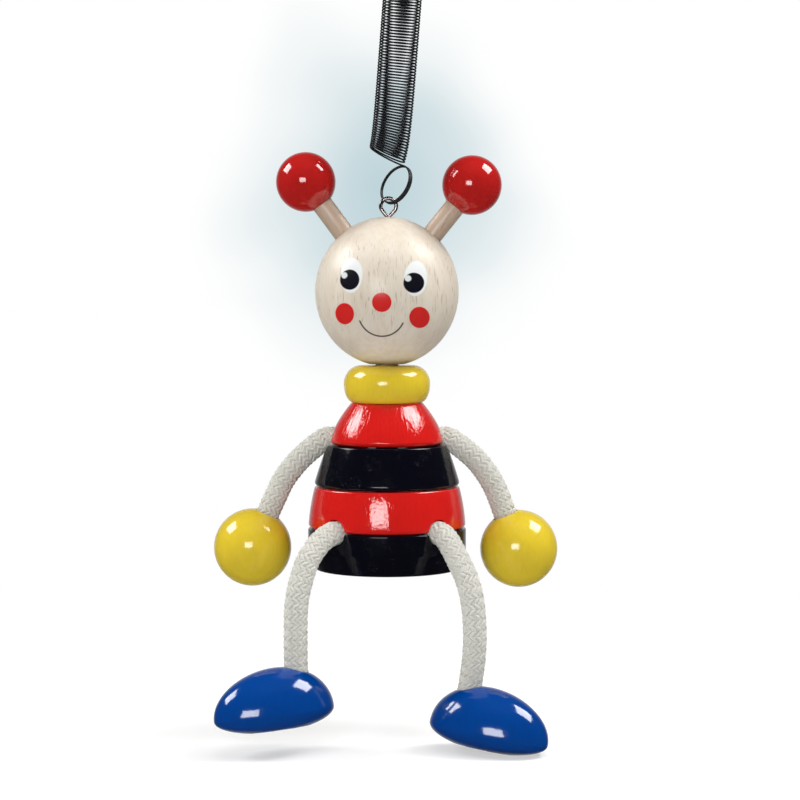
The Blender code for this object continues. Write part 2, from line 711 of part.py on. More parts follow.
def main():
    for thing in list(bpy.data.objects):
        bpy.data.objects.remove(thing)
    group = collection("spring_toy")
    collection("cutters")
    finishes = {
        "red_lacquer": material("red_lacquer", (0.61, 0.026, 0.019), 0.16),
        "black_lacquer": material("black_lacquer", (0.006, 0.006, 0.011), 0.16),
        "yellow_lacquer": material("yellow_lacquer", (0.72, 0.50, 0.045), 0.18),
        "blue_lacquer": material("blue_lacquer", (0.004, 0.055, 0.30), 0.14),
        "bare_beech": material("bare_beech", (0.80, 0.69, 0.55), 0.42),
        "cotton_cord": material("cotton_cord", (0.76, 0.72, 0.63), 0.9),
        "nickel": material("nickel", (0.62, 0.60, 0.57), 0.2, 1.0),
        "black_steel": material("black_steel", (0.02, 0.022, 0.03), 0.3, 1.0),
    }
    add_empties(group)
    make_rings(group, finishes)
    make_collar(group, finishes)
    make_centre_dowel(group, finishes)
    head = make_head(group, finishes)
    for side in SIDES:
        make_antenna(group, finishes, head, side)
    make_screw_eye(group, finishes, head)
    rings = [group.objects[name] for name in RING_RADII]
    for side in SIDES:
        make_limb(group, finishes, "arm", side, rings[0], rings[1])
        make_limb(group, finishes, "leg", side, rings[2], rings[3])
    make_spring(group, finishes)
    for name, at in STANDS.items():
        where = (at - HANGING_POINT) / MM
        print(f"{name}: {where.x:.3f} {where.y:.3f} {where.z:.3f} mm from the hanging point")


main()
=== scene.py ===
"""Dresses a hanging wooden spring toy: lacquered beech, a painted face, plaited limbs and a long spring.

The toy hangs from its spring's top loop, which is the origin. Pieces are laid out on the figure's own axis,
with heights measured from its flat seat. Left and right are the toy's own, so its left is at +X.
"""

import json
import math

import bmesh
import bpy
from bpy.props import FloatProperty, FloatVectorProperty, IntProperty, PointerProperty
from bpy.types import Operator, Panel, PropertyGroup
from mathutils import Euler, Matrix, Vector

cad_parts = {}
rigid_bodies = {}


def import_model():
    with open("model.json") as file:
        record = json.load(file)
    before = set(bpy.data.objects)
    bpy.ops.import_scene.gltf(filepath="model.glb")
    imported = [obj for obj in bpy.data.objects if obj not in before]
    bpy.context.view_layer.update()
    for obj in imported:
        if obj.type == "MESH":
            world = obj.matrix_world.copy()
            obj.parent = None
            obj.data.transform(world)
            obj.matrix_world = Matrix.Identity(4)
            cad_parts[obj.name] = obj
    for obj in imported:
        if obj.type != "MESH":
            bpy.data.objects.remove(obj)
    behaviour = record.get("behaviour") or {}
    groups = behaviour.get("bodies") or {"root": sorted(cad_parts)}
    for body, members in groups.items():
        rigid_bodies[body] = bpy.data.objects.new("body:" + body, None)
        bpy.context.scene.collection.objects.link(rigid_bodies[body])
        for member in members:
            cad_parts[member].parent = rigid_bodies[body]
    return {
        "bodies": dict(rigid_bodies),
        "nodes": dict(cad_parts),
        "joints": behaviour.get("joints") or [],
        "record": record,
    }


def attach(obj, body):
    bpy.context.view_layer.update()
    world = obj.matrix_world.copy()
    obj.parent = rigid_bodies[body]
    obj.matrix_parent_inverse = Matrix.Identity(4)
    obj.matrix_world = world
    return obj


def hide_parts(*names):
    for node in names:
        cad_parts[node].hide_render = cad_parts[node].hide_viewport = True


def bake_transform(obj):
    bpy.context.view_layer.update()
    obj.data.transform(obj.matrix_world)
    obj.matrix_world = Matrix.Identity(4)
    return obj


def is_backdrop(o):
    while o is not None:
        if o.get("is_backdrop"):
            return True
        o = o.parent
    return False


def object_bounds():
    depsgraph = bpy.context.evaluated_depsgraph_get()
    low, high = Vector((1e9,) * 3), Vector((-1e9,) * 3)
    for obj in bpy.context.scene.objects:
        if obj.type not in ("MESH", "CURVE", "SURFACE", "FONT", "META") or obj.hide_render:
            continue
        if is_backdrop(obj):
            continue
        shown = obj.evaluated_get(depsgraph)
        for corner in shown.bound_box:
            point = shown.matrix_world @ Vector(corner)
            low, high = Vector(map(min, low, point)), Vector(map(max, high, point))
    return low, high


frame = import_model()

bl_info = {
    "name": "Hanging spring toy",
    "version": (1, 0, 0),
    "blender": (4, 5, 0),
    "location": "3D View > Sidebar > Spring toy",
    "description": "Makes the turned, lacquered and plaited pieces of a wooden toy that hangs on a spring",
    "category": "Object",
}

MM = 0.001
DEG = math.pi / 180.0
X_AXIS = Vector((1.0, 0.0, 0.0))
Y_AXIS = Vector((0.0, 1.0, 0.0))
Z_AXIS = Vector((0.0, 0.0, 1.0))
SIDES = {"left": 1.0, "right": -1.0}
SHARP = 35.0 * DEG  # a fold between faces that is sharper than this shows as an edge
RIM_SHARP = 50.0 * DEG  # a hole's rim is broken where it is sharper than this
PLACES = {mount["name"]: Vector(mount["pos_m"]) for mount in frame["record"]["mounts"]}
JOINTS = {joint["name"]: joint for joint in frame["joints"]}
SEAT = PLACES["seat"]
RING_FINISHES = {
    "body_ring_1": "red_lacquer",
    "body_ring_2": "black_lacquer",
    "body_ring_3": "red_lacquer",
    "body_ring_4": "black_lacquer",
}
RINGS = len(RING_FINISHES)
WHITE = (1.0, 1.0, 1.0, 1.0)
BLACK = (0.0, 0.0, 0.0, 1.0)

DRILL_OVER = 2.0 * MM  # how far a drill starts outside a ball, a foot or the head
RING_DRILL_OVER = 3.0 * MM  # how far a drill starts outside a ring
DOWEL_GAP = 0.12 * MM  # gap all round an antenna's dowel or the screw eye in its hole
EYE_GAP = 0.3 * MM  # gap between the head and the screw eye's ring
DOWEL_EDGE = 0.35 * MM  # how far an antenna dowel's ends are rounded
RING_HOLE_EDGE = 0.22 * MM  # how far the rim of a cord's hole is broken in a ring
END_HOLE_EDGE = 0.2 * MM  # how far it is broken in a hand or foot
FILM_DEPTH = 0.13 * MM  # how deep the lacquer's unevenness is
GRAIN_DEPTH = 0.03 * MM  # how deep the bare wood's grain and the face's paint are
FIBRE_DEPTH = 0.09 * MM  # how deep the fibres of a cord's yarn are
DRAW_DEPTH = 0.006 * MM  # how deep the draw marks of a wire are
EYE_STEP = 0.12 * MM  # length of one step along the screw eye's wire
LAMPS_AIM = 45.0 * MM  # height over the seat that the lamps look at

# The screw eye's neck and tip, to the side and up from its ring's middle, in shares of the ring's radius.
EYE_NECK = ((0.0, -1.9), (0.02, -1.42), (0.36, -1.06))
EYE_TIP = ((-0.42, -1.08), (-0.12, -1.34))


def size(name, description, millimetres):
    return FloatProperty(
        name=name, description=description, default=millimetres * MM, unit="LENGTH", precision=5
    )


def sizes(name, description, *millimetres):
    """One length for each of several like pieces."""
    lengths = [length * MM for length in millimetres]
    return FloatVectorProperty(
        name=name, description=description, default=lengths, size=len(lengths), unit="LENGTH", precision=5
    )


def turn(name, description, degrees):
    return FloatProperty(name=name, description=description, default=degrees * DEG, subtype="ANGLE")


def share(name, description, value):
    return FloatProperty(name=name, description=description, default=value, subtype="FACTOR")


def turns(name, description, value):
    return FloatProperty(name=name, description=description, default=value, subtype="UNSIGNED")


def count(name, description, value):
    return IntProperty(name=name, description=description, default=value, subtype="UNSIGNED")


def colour(name, description, red, green, blue):
    """A colour given as 0 to 255 on a screen, and kept as light."""
    screen = (red / 255.0, green / 255.0, blue / 255.0)
    light = [c / 12.92 if c <= 0.04045 else ((c + 0.055) / 1.055) ** 2.4 for c in screen]
    return FloatVectorProperty(
        name=name, description=description, default=light, size=3, subtype="COLOR", min=0.0, max=1.0
    )


class SpringToyBody(PropertyGroup):
    """The stack of turned rings and the collar on it."""

    ring_height: size("Ring height", "Height of one ring with its glue line", 11.0)
    glue_line: size("Glue line", "Gap that shows between two rings", 0.2)
    ring_edge: size("Ring edge", "How far a ring's upper edge is rounded", 0.5)
    ring_1_edge: size("Ring 1 edge", "How far the topmost ring's upper edge is rounded", 0.15)
    lower_edge: size("Lower edge", "How far a ring's lower edge is rounded", 0.9)
    neck_gap: size("Neck gap", "Gap that shows between the topmost ring and the collar", 0.06)
    ring_tops: sizes("Ring tops", "Radius of each ring at its top, from ring 1 down", 9.4, 15.8, 19.1, 20.9)
    ring_seats: sizes("Ring seats", "Radius of each ring at its bottom", 15.5, 19.4, 20.8, 19.2)
    ring_bulges: sizes("Ring bulges", "How far the upper three rings' sides swell", 0.8, 0.15, 0.3)
    ring_4_straight: size("Upright band", "Height of the lowest ring's upright band", 5.5)
    collar_radius: size("Collar radius", "Radius of the collar", 11.4)
    collar_height: size("Collar height", "Height of the collar with its glue line", 10.0)
    collar_top: size("Collar top", "How far the collar's side draws in at its top", 4.4)
    collar_bottom: size("Collar bottom", "How far the collar's side draws in at its bottom", 2.5)
    dowel_radius: size("Dowel radius", "Radius of the dowel through the stack", 3.0)
    dowel_floor: size("Dowel floor", "Wood left under the centre dowel", 4.0)
    bore_gap: size("Bore gap", "Gap all round a dowel or cord in its hole", 0.3)


class SpringToyHead(PropertyGroup):
    """The head, its antennae and the screw eye."""

    half_width: size("Half width", "Half of the head's width", 18.9)
    half_height: size("Half height", "Half of the head's height before it is cut flat", 19.65)
    flat_radius: size("Flat radius", "Radius of the flat that sits on the collar", 4.9)
    dowel_depth: size("Dowel depth", "How far the centre dowel reaches into the head", 12.0)
    left_lean: turn("Left lean", "How far the left antenna leans out", 38.6)
    right_lean: turn("Right lean", "How far the right antenna leans out", 36.5)
    bare_dowel: size("Bare dowel", "Antenna dowel that shows between head and ball", 8.6)
    antenna_radius: size("Antenna radius", "Radius of an antenna's dowel", 2.75)
    antenna_in_head: size("In the head", "How deep an antenna's dowel is glued in the head", 7.0)
    antenna_in_ball: size("In the ball", "How deep an antenna's dowel is glued in its ball", 5.0)
    ball_radius: size("Ball radius", "Radius of an antenna's ball", 7.85)
    eye_wire: size("Eye wire", "Thickness of the screw eye's wire", 1.05)
    eye_ring: size("Eye ring", "Radius of the screw eye's ring to its wire's middle", 2.03)
    eye_side: size("Eye offset", "How far the screw eye stands from the axis", 0.4)
    eye_depth: size("Eye depth", "How deep the screw eye's shank is in the head", 8.0)


class SpringToyFace(PropertyGroup):
    """The painted face, laid out on a plane square to the way it looks."""

    face_turn: turn("Turn", "How far the face looks to the toy's right", 3.4)
    face_roll: turn("Roll", "How far the face is rolled on the head", 2.8)
    eye_spread: size("Eye spread", "From the face's middle to an eye's middle", 8.25)
    eye_height: size("Eye height", "From the head's middle up to the eyes' middle", 3.8)
    white_width: size("White width", "Half of an eye's width", 2.9)
    white_height: size("White height", "Half of an eye's height", 4.45)
    pupil_radius: size("Pupil radius", "Radius of a pupil", 2.6)
    pupil_side: size("Pupil side", "How far a pupil is off its eye's middle, to the toy's left", -0.4)
    pupil_drop: size("Pupil drop", "How far a pupil is under its eye's middle", 1.1)
    glint_radius: size("Glint radius", "Radius of the white dot on a pupil", 0.8)
    glint_side: size("Glint side", "How far a dot is off its pupil's middle", -1.5)
    glint_rise: size("Glint rise", "How far a dot is over its pupil's middle", 1.05)
    nose_radius: size("Nose radius", "Radius of the nose's dot", 2.5)
    nose_drop: size("Nose drop", "From the head's middle down to the nose", 2.65)
    cheek_radius: size("Cheek radius", "Radius of a cheek's dot", 2.75)
    cheek_spread: size("Cheek spread", "From the face's middle to a cheek's middle", 9.65)
    cheek_drop: size("Cheek drop", "From the head's middle down to the cheeks", 6.1)
    smile_radius: size("Smile radius", "Radius of the mouth's curve", 6.0)
    smile_drop: size("Smile drop", "From the head's middle down to the curve's middle", 5.4)
    smile_reach: size("Smile reach", "How far the mouth's ends are under the curve's middle", 2.2)
    smile_line: size("Smile line", "Width of the mouth's line", 0.4)


class SpringToyLimbs(PropertyGroup):
    """The plaited cords, the hands and the feet."""

    cord_diameter: size("Cord diameter", "Diameter of the plaited cord", 6.3)
    strands: count("Strands", "Strands that run each way round", 6)
    yarn_radius: size("Yarn radius", "Radius of one of a strand's two yarns", 0.46)
    strand_ring: size("Strand ring", "From the cord's middle to a strand's middle, halfway", 2.51)
    strand_weave: size("Strand weave", "How far a strand rises and sinks as it passes others", 0.17)
    stitch: size("Stitch", "Length of one stitch along the cord", 2.6)
    cord_step: size("Cord step", "Length of one step of a strand along the cord", 0.3)
    arm_rise: size("Arm rise", "From the joint under ring 1 up to the arm cords", 1.5)
    arm_exit: size("Arm exit", "From the axis to where an arm's cord is free", 16.2)
    arm_floor: size("Arm hole", "From the axis to the end of an arm's hole", 5.0)
    arm_free: size("Arm length", "Free length of an arm's cord", 25.0)
    leg_exit: size("Leg exit", "From the axis to where a leg's cord is free", 21.1)
    leg_floor: size("Leg hole", "From the axis to the end of a leg's hole", 8.0)
    leg_free: size("Leg length", "Free length of a leg's cord", 40.0)
    leg_spread: turn("Leg spread", "How far each leg points out from straight ahead", 41.0)
    bend_reach: size("Bend reach", "How much of a cord bends as its limb lifts", 14.0)
    hole_depth: size("Hole depth", "Depth of the cord's hole in a hand or foot", 8.0)
    hand_radius: size("Hand radius", "Radius of a hand", 10.2)
    foot_length: size("Foot length", "Length of a foot", 31.4)
    foot_width: size("Foot width", "Width of a foot", 19.0)
    foot_dome: size("Foot dome", "From the foot's long axis up to its top", 11.4)
    foot_rise: size("Foot axis", "From the sole up to the foot's long axis", 4.2)
    foot_keel: size("Foot underside", "How deep the rounded underside is before it is cut flat", 4.8)
    foot_taper: share("Foot taper", "How much slimmer than an even egg the toe is", 0.08)
    foot_hole: size("Foot hole", "From the foot's middle back to its hole", 7.2)
    foot_turn: turn("Foot turn", "How far the toes point forward from straight out", 22.0)
    left_dip: turn("Left dip", "How far the left toes dip", 8.0)
    right_dip: turn("Right dip", "How far the right toes dip", 4.0)
    foot_roll: turn("Foot roll", "How far the top of each foot leans back", 10.0)
    sole_edge: size("Sole edge", "How far the sole's edge is rounded", 0.8)


class SpringToySpring(PropertyGroup):
    """The spring, wound right-handed from one wire."""

    wire: size("Wire", "Thickness of the spring's wire", 0.45)
    coil_radius: size("Coil radius", "Radius of the coil to its wire's middle", 4.95)
    coil_pitch: size("Coil pitch", "From one turn of the coil to the next, about", 0.77)
    end_slope: turn("End slope", "How far the last turn leans", 26.0)
    end_pitch: size("End pitch", "From one turn to the next at the lower end", 0.62)
    end_fade: turns("End fade", "Turns over which the lower end's own slope and pitch fade", 12.0)
    sway_fade: turns("Sway fade", "Turns over which the coil comes back to its own axis", 7.0)
    turn_tip: turn("Turn tip", "How far every turn's front edge is raised", 5.8)
    end_turns: turns("End turns", "Turns at the coil's lower end that swing with the toy", 10.0)
    drift_side: size("Drift to the side", "How far the last turn's middle is off to the left", -1.1)
    drift_back: size("Drift back", "How far the last turn's middle is off to the back", 1.6)
    drift_up: size("Drift up", "How far the last turn's middle is raised", 0.5)
    loop_radius: size("Loop radius", "Radius of the two end loops", 5.27)
    loop_pitch: size("Loop pitch", "From one turn of the lower loop to the next", 0.45)
    loop_turns: turns("Loop turns", "Turns of the lower loop", 2.5)
    loop_lean: turn("Loop lean", "How far the lower loop's long axis leans to the toy's left", 29.4)
    loop_twist: turn("Loop twist", "How far the lower loop's left edge is turned to the front", 52.5)
    top_bend: size("Top bend", "Radius of the wire's bend up to the top loop", 1.2)
    top_lift: size("Top lift", "From the coil's last turn up to the top loop", 0.7)
    top_sweep: turn("Top sweep", "How far round the top loop goes", 320.0)
    steps: count("Steps", "Steps of the wire in one turn", 32)


class SpringToyColours(PropertyGroup):
    """The colours of the lacquers, the wood, the cord and the metal."""

    red: colour("Red lacquer", "Rings 1 and 3 and the face's dots", 218, 30, 26)
    ball_red: colour("Ball red", "The antenna balls", 188, 30, 28)
    black: colour("Black lacquer", "Rings 2 and 4", 7, 7, 18)
    yellow: colour("Yellow lacquer", "The collar and the hands", 235, 205, 54)
    blue: colour("Blue lacquer", "The feet", 0, 64, 144)
    beech: colour("Beech", "The head", 232, 222, 206)
    beech_dark: colour("Beech streaks", "The head's darker streaks", 212, 194, 170)
    stick: colour("Stick", "The dowels", 204, 181, 160)
    stick_dark: colour("Stick streaks", "The dowels' darker streaks", 180, 154, 132)
    beech_fleck: colour("Beech flecks", "The wood's short dark flecks", 136, 112, 88)
    pupil: colour("Pupils", "The paint of the pupils", 14, 14, 26)
    eye_white: colour("Eye whites", "The paint of the eyes", 240, 243, 242)
    smile: colour("Mouth", "The paint of the mouth's line", 62, 50, 46)
    cotton: colour("Cotton", "The plaited cords", 226, 225, 217)
    # Painted shade: the cords take this darker tone where their fibres and plies sink.
    cotton_groove_shade: colour("Cotton shade", "The cords' deeper fibres", 196, 194, 184)
    nickel: colour("Nickel", "The screw eye", 150, 142, 142)
    steel: colour("Steel", "The spring's blackened wire", 12, 18, 25)


class SpringToyStage(PropertyGroup):
    """The floor, the backdrop, the lamps and the camera."""

    floor_gap: size("Floor gap", "From the feet down to the floor", 1.5)
    camera_side: size("Camera side", "The camera's place to the toy's left of the origin", -1.56)
    camera_back: size("Camera distance", "From the origin forward to the camera", 578.3)
    camera_height: size("Camera height", "The camera's height over the origin", -94.8)
    camera_pitch: turn("Camera pitch", "How far the camera looks down", 2.942)
    camera_view: turn("Camera view", "The angle that the frame takes in", 20.62)
    room: share("Room light", "How bright the room round the toy is", 0.1)
    # The backdrop's pale blue patch is painted shade: a soft darker patch in its glow behind the head and
    # the spring.
    backdrop_shade: share("Haze", "How strong the pale blue patch on the backdrop is", 0.85)
    backdrop_shade_colour: colour("Haze colour", "The pale patch behind the head and the spring", 178, 205, 212)
    backdrop_shade_middle: FloatVectorProperty(
        name="Haze middle", description="The middle of the pale patch", subtype="TRANSLATION",
        default=(-14.0 * MM, 0.9, -30.0 * MM),
    )


# Each lamp's way from the figure's middle, its distance and size in metres, and its power in watts.
LAMPS = {
    "front softbox": ((-0.197, -0.966, 0.165), 0.9, (0.36, 0.25), 3.1),
    "left softbox": ((-0.78, 0.10, 0.62), 0.9, (0.42, 0.32), 4.6),
    "right softbox": ((0.65, 0.05, 0.76), 0.9, (0.46, 0.36), 6.4),
    "top fill": ((0.06, -0.30, 0.95), 0.45, (0.34, 0.34), 0.8),
}

# Shares of a cord's free length, from where it is free: outward, sideways and up.
ARM_ROUTE = {
    "left": (
        (0.128, -0.004, -0.084),
        (0.316, -0.012, -0.252),
        (0.480, -0.016, -0.496),
        (0.596, -0.016, -0.788),
    ),
    "right": (
        (0.128, -0.004, -0.092),
        (0.288, -0.016, -0.236),
        (0.436, -0.028, -0.424),
        (0.528, -0.036, -0.608),
        (0.604, -0.044, -0.776),
    ),
}
LEG_ROUTE = {
    "left": (
        (0.0725, 0.0, -0.0425),
        (0.1750, 0.0, -0.1650),
        (0.2600, 0.0, -0.2875),
        (0.3100, 0.0, -0.4375),
        (0.3275, 0.0, -0.6250),
        (0.3175, 0.0, -0.7750),
        (0.2825, 0.0, -0.9540),
    ),
    "right": (
        (0.0725, 0.0, -0.0225),
        (0.1475, 0.0, -0.0675),
        (0.2500, 0.0, -0.1750),
        (0.3350, 0.0, -0.3875),
        (0.3500, 0.0, -0.6125),
        (0.3475, 0.0, -0.8275),
    ),
}


def chosen(group):
    """One of the scene's groups of sizes and colours."""
    return getattr(bpy.context.scene, f"spring_toy_{group}")


def on_axis(height):
    """A point on the figure's axis, by its height over the seat."""
    return SEAT + height * Z_AXIS


def pointing(direction):
    """The turn that takes +Z to a direction."""
    return direction.to_track_quat("Z", "Y").to_matrix().to_4x4()


def placed(at, direction):
    return Matrix.Translation(at) @ pointing(direction)


def smooth_step(x):
    x = min(max(x, 0.0), 1.0)
    return x * x * (3.0 - 2.0 * x)


def linked(name, mesh, finish):
    made = bpy.data.objects.new(name, mesh)
    bpy.context.scene.collection.objects.link(made)
    if finish:
        mesh.materials.clear()
        mesh.materials.append(finish)
    mesh.shade_smooth()
    mesh.set_sharp_from_angle(angle=SHARP)
    return made


def finished(name, bm, finish, place=None):
    """A mesh object at the origin, with its place in its mesh and its faces outward."""
    if place:
        bmesh.ops.transform(bm, matrix=place, verts=bm.verts)
    bmesh.ops.recalc_face_normals(bm, faces=bm.faces)
    mesh = bpy.data.meshes.new(name)
    bm.to_mesh(mesh)
    bm.free()
    return linked(name, mesh, finish)


def applied(made):
    """Bakes an object's modifiers into its mesh."""
    graph = bpy.context.evaluated_depsgraph_get()
    mesh = bpy.data.meshes.new_from_object(made.evaluated_get(graph))
    before = made.data
    made.modifiers.clear()
    made.data = mesh
    mesh.name = made.name
    bpy.data.meshes.remove(before)
    mesh.set_sharp_from_angle(angle=SHARP)


def bored(made, holes, edge):
    """Drills round holes, each given by its two ends and its radius, and breaks their sharp edges."""
    for start, end, radius in holes:
        bm = bmesh.new()
        depth = (end - start).length
        bmesh.ops.create_cone(
            bm, cap_ends=True, segments=64, radius1=radius, radius2=radius, depth=depth
        )
        drill = finished("drill", bm, None, placed((start + end) / 2.0, end - start))
        cut = made.modifiers.new("bore", "BOOLEAN")
        cut.operation = "DIFFERENCE"
        cut.solver = "EXACT"
        cut.object = drill
        applied(made)
        bpy.data.objects.remove(drill)
    if edge > 0.0:
        broken = made.modifiers.new("broken edge", "BEVEL")
        broken.limit_method = "ANGLE"
        broken.angle_limit = RIM_SHARP
        broken.width = edge
        broken.segments = 2
        applied(made)
    return made


def rounded(outline, radii, segments=6):
    """An outline of (radius, height) points with its inner corners rounded, each by its own radius."""
    points = [Vector(p) for p in outline]
    made = [points[0]]
    for before, corner, after, radius in zip(points, points[1:], points[2:], radii):
        to_before, to_after = before - corner, after - corner
        half = to_before.angle(to_after) / 2.0
        room = 0.45 * min(to_before.length, to_after.length)
        back = min(radius / math.tan(half), room)
        to_before.normalize()
        to_after.normalize()
        reach = back * math.tan(half)
        centre = corner + (to_before + to_after).normalized() * reach / math.sin(half)
        first = corner + back * to_before - centre
        last = corner + back * to_after - centre
        for i in range(segments + 1):
            made.append(centre + first.lerp(last, i / segments).normalized() * reach)
    made.append(points[-1])
    return made


def turned(outline, closed=False, steps=112):
    """A bmesh of a piece turned on a lathe from an outline of (radius, height) points."""
    bm = bmesh.new()
    corners = [bm.verts.new((p[0], 0.0, p[1])) for p in outline]
    runs = [bm.edges.new(pair) for pair in zip(corners, corners[1:])]
    if closed:
        runs.append(bm.edges.new((corners[-1], corners[0])))
    bmesh.ops.spin(
        bm, geom=corners + runs, cent=(0.0, 0.0, 0.0), axis=Z_AXIS, angle=math.tau, steps=steps,
        use_merge=True,
    )
    bmesh.ops.remove_doubles(bm, verts=bm.verts, dist=0.001 * MM)
    return bm


def smooth_line(points, step, first_way, last_way):
    """Points about a step apart on a smooth curve through the given ones, with set end directions."""
    padded = [points[0] - first_way * step, *points, points[-1] + last_way * step]
    fine = []
    steps = 24
    for a, b, c, d in zip(padded, padded[1:], padded[2:], padded[3:]):
        for i in range(steps):
            t = i / steps
            bend = (2.0 * a - 5.0 * b + 4.0 * c - d) * t * t + (3.0 * b - a - 3.0 * c + d) * t**3
            fine.append(0.5 * (2.0 * b + (c - a) * t + bend))
    fine.append(points[-1])
    return evenly(fine, step)


def evenly(points, step):
    """The same line in even steps."""
    run = [0.0]
    for one, other in zip(points, points[1:]):
        run.append(run[-1] + (other - one).length)
    steps = max(2, round(run[-1] / step))
    made = []
    at = 0
    for i in range(steps + 1):
        wanted = run[-1] * i / steps
        while at < len(run) - 2 and run[at + 1] < wanted:
            at += 1
        gap = run[at + 1] - run[at]
        made.append(points[at].lerp(points[at + 1], (wanted - run[at]) / gap if gap else 0.0))
    return made


def length_of(points):
    return sum((other - one).length for one, other in zip(points, points[1:]))


def swept(name, lines, resolution, finish):
    """Round tubes along lines of points, each line with its own radius, as one mesh.

    The UV map runs along each tube in millimetres and once round it.
    """
    curve = bpy.data.curves.new(name, "CURVE")
    curve.dimensions = "3D"
    curve.bevel_depth = 1.0
    curve.bevel_resolution = resolution
    curve.use_fill_caps = True
    for points, radius in lines:
        spline = curve.splines.new("POLY")
        spline.points.add(len(points) - 1)
        spline.use_smooth = True
        for slot, point in zip(spline.points, points):
            slot.co = (*point, 1.0)
            slot.radius = radius
    shaped = bpy.data.objects.new(name, curve)
    bpy.context.scene.collection.objects.link(shaped)
    graph = bpy.context.evaluated_depsgraph_get()
    mesh = bpy.data.meshes.new_from_object(shaped.evaluated_get(graph))
    bpy.data.objects.remove(shaped)
    bpy.data.curves.remove(curve)
    mesh.name = name
    made = linked(name, mesh, finish)
    run = length_of(lines[0][0]) / MM
    for layer in mesh.uv_layers:
        for corner in layer.data:
            corner.uv.x *= run
    return made


class Nodes:
    """A node tree with short ways to add to it."""

    def __init__(self, tree):
        self.tree = tree

    def add(self, kind, sockets=(), **settings):
        made = self.tree.nodes.new(kind)
        for name, value in settings.items():
            setattr(made, name, value)
        for key, value in dict(sockets).items():
            self.feed(made.inputs[key], value)
        return made

    def feed(self, socket, value):
        if isinstance(value, bpy.types.NodeSocket):
            self.tree.links.new(value, socket)
        else:
            socket.default_value = value

    def maths(self, operation, one, other=0.0, third=0.0):
        sockets = {0: one, 1: other, 2: third}
        return self.add("ShaderNodeMath", sockets, operation=operation).outputs[0]

    def times(self, one, other):
        return self.maths("MULTIPLY", one, other)

    def scaled(self, value, factor, plus):
        """A value times a factor, plus another value."""
        return self.maths("MULTIPLY_ADD", value, factor, plus)

    def vector(self, operation, *values):
        made = self.add("ShaderNodeVectorMath", dict(enumerate(values)), operation=operation)
        return made.outputs["Value" if operation == "LENGTH" else "Vector"]

    def parts(self, at):
        return self.add("ShaderNodeSeparateXYZ", {0: at}).outputs

    def seen(self, path):
        """1 where the camera sees a thing straight or through glass."""
        return self.maths("MAXIMUM", path["Is Camera Ray"], path["Is Transmission Ray"])


class Shader(Nodes):
    """A material's nodes, round its one surface."""

    def __init__(self, name):
        self.material = bpy.data.materials.new(name)
        self.material.use_nodes = True
        super().__init__(self.material.node_tree)
        self.surface = self.tree.nodes["Principled BSDF"]

    def ramp(self, value, low, high, to_low=0.0, to_high=1.0, smooth=True):
        kind = "SMOOTHSTEP" if smooth else "LINEAR"
        sockets = {"Value": value, "From Min": low, "From Max": high, "To Min": to_low, "To Max": to_high}
        return self.add("ShaderNodeMapRange", sockets, interpolation_type=kind).outputs[0]

    def mixed(self, factor, one, other):
        sockets = {"Factor": factor, 6: one, 7: other}
        return self.add("ShaderNodeMix", sockets, data_type="RGBA").outputs[2]

    def noise(self, at, scale, detail=2.0, roughness=0.5):
        sockets = {"Vector": at, "Scale": scale, "Detail": detail, "Roughness": roughness}
        return self.add("ShaderNodeTexNoise", sockets).outputs["Fac"]

    def place(self, centre=(0.0, 0.0, 0.0), rotation=(0.0, 0.0, 0.0)):
        """The piece's own place in millimetres, from a centre and on turned axes."""
        where = self.add("ShaderNodeTexCoord").outputs["Object"]
        sockets = {"Vector": where, "Location": centre, "Rotation": rotation, "Scale": (MM, MM, MM)}
        return self.add("ShaderNodeMapping", sockets, vector_type="TEXTURE").outputs[0]

    def stretched(self, at, across, along):
        return self.vector("MULTIPLY", at, (across, across, along))

    def bumps(self, height, distance, strength=1.0, under=None):
        sockets = {"Height": height, "Distance": distance, "Strength": strength}
        if under:
            sockets["Normal"] = under
        return self.add("ShaderNodeBump", sockets).outputs[0]

    def set(self, **values):
        for name, value in values.items():
            self.feed(self.surface.inputs[name.replace("_", " ")], value)


def rgba(value):
    return (*value, 1.0)


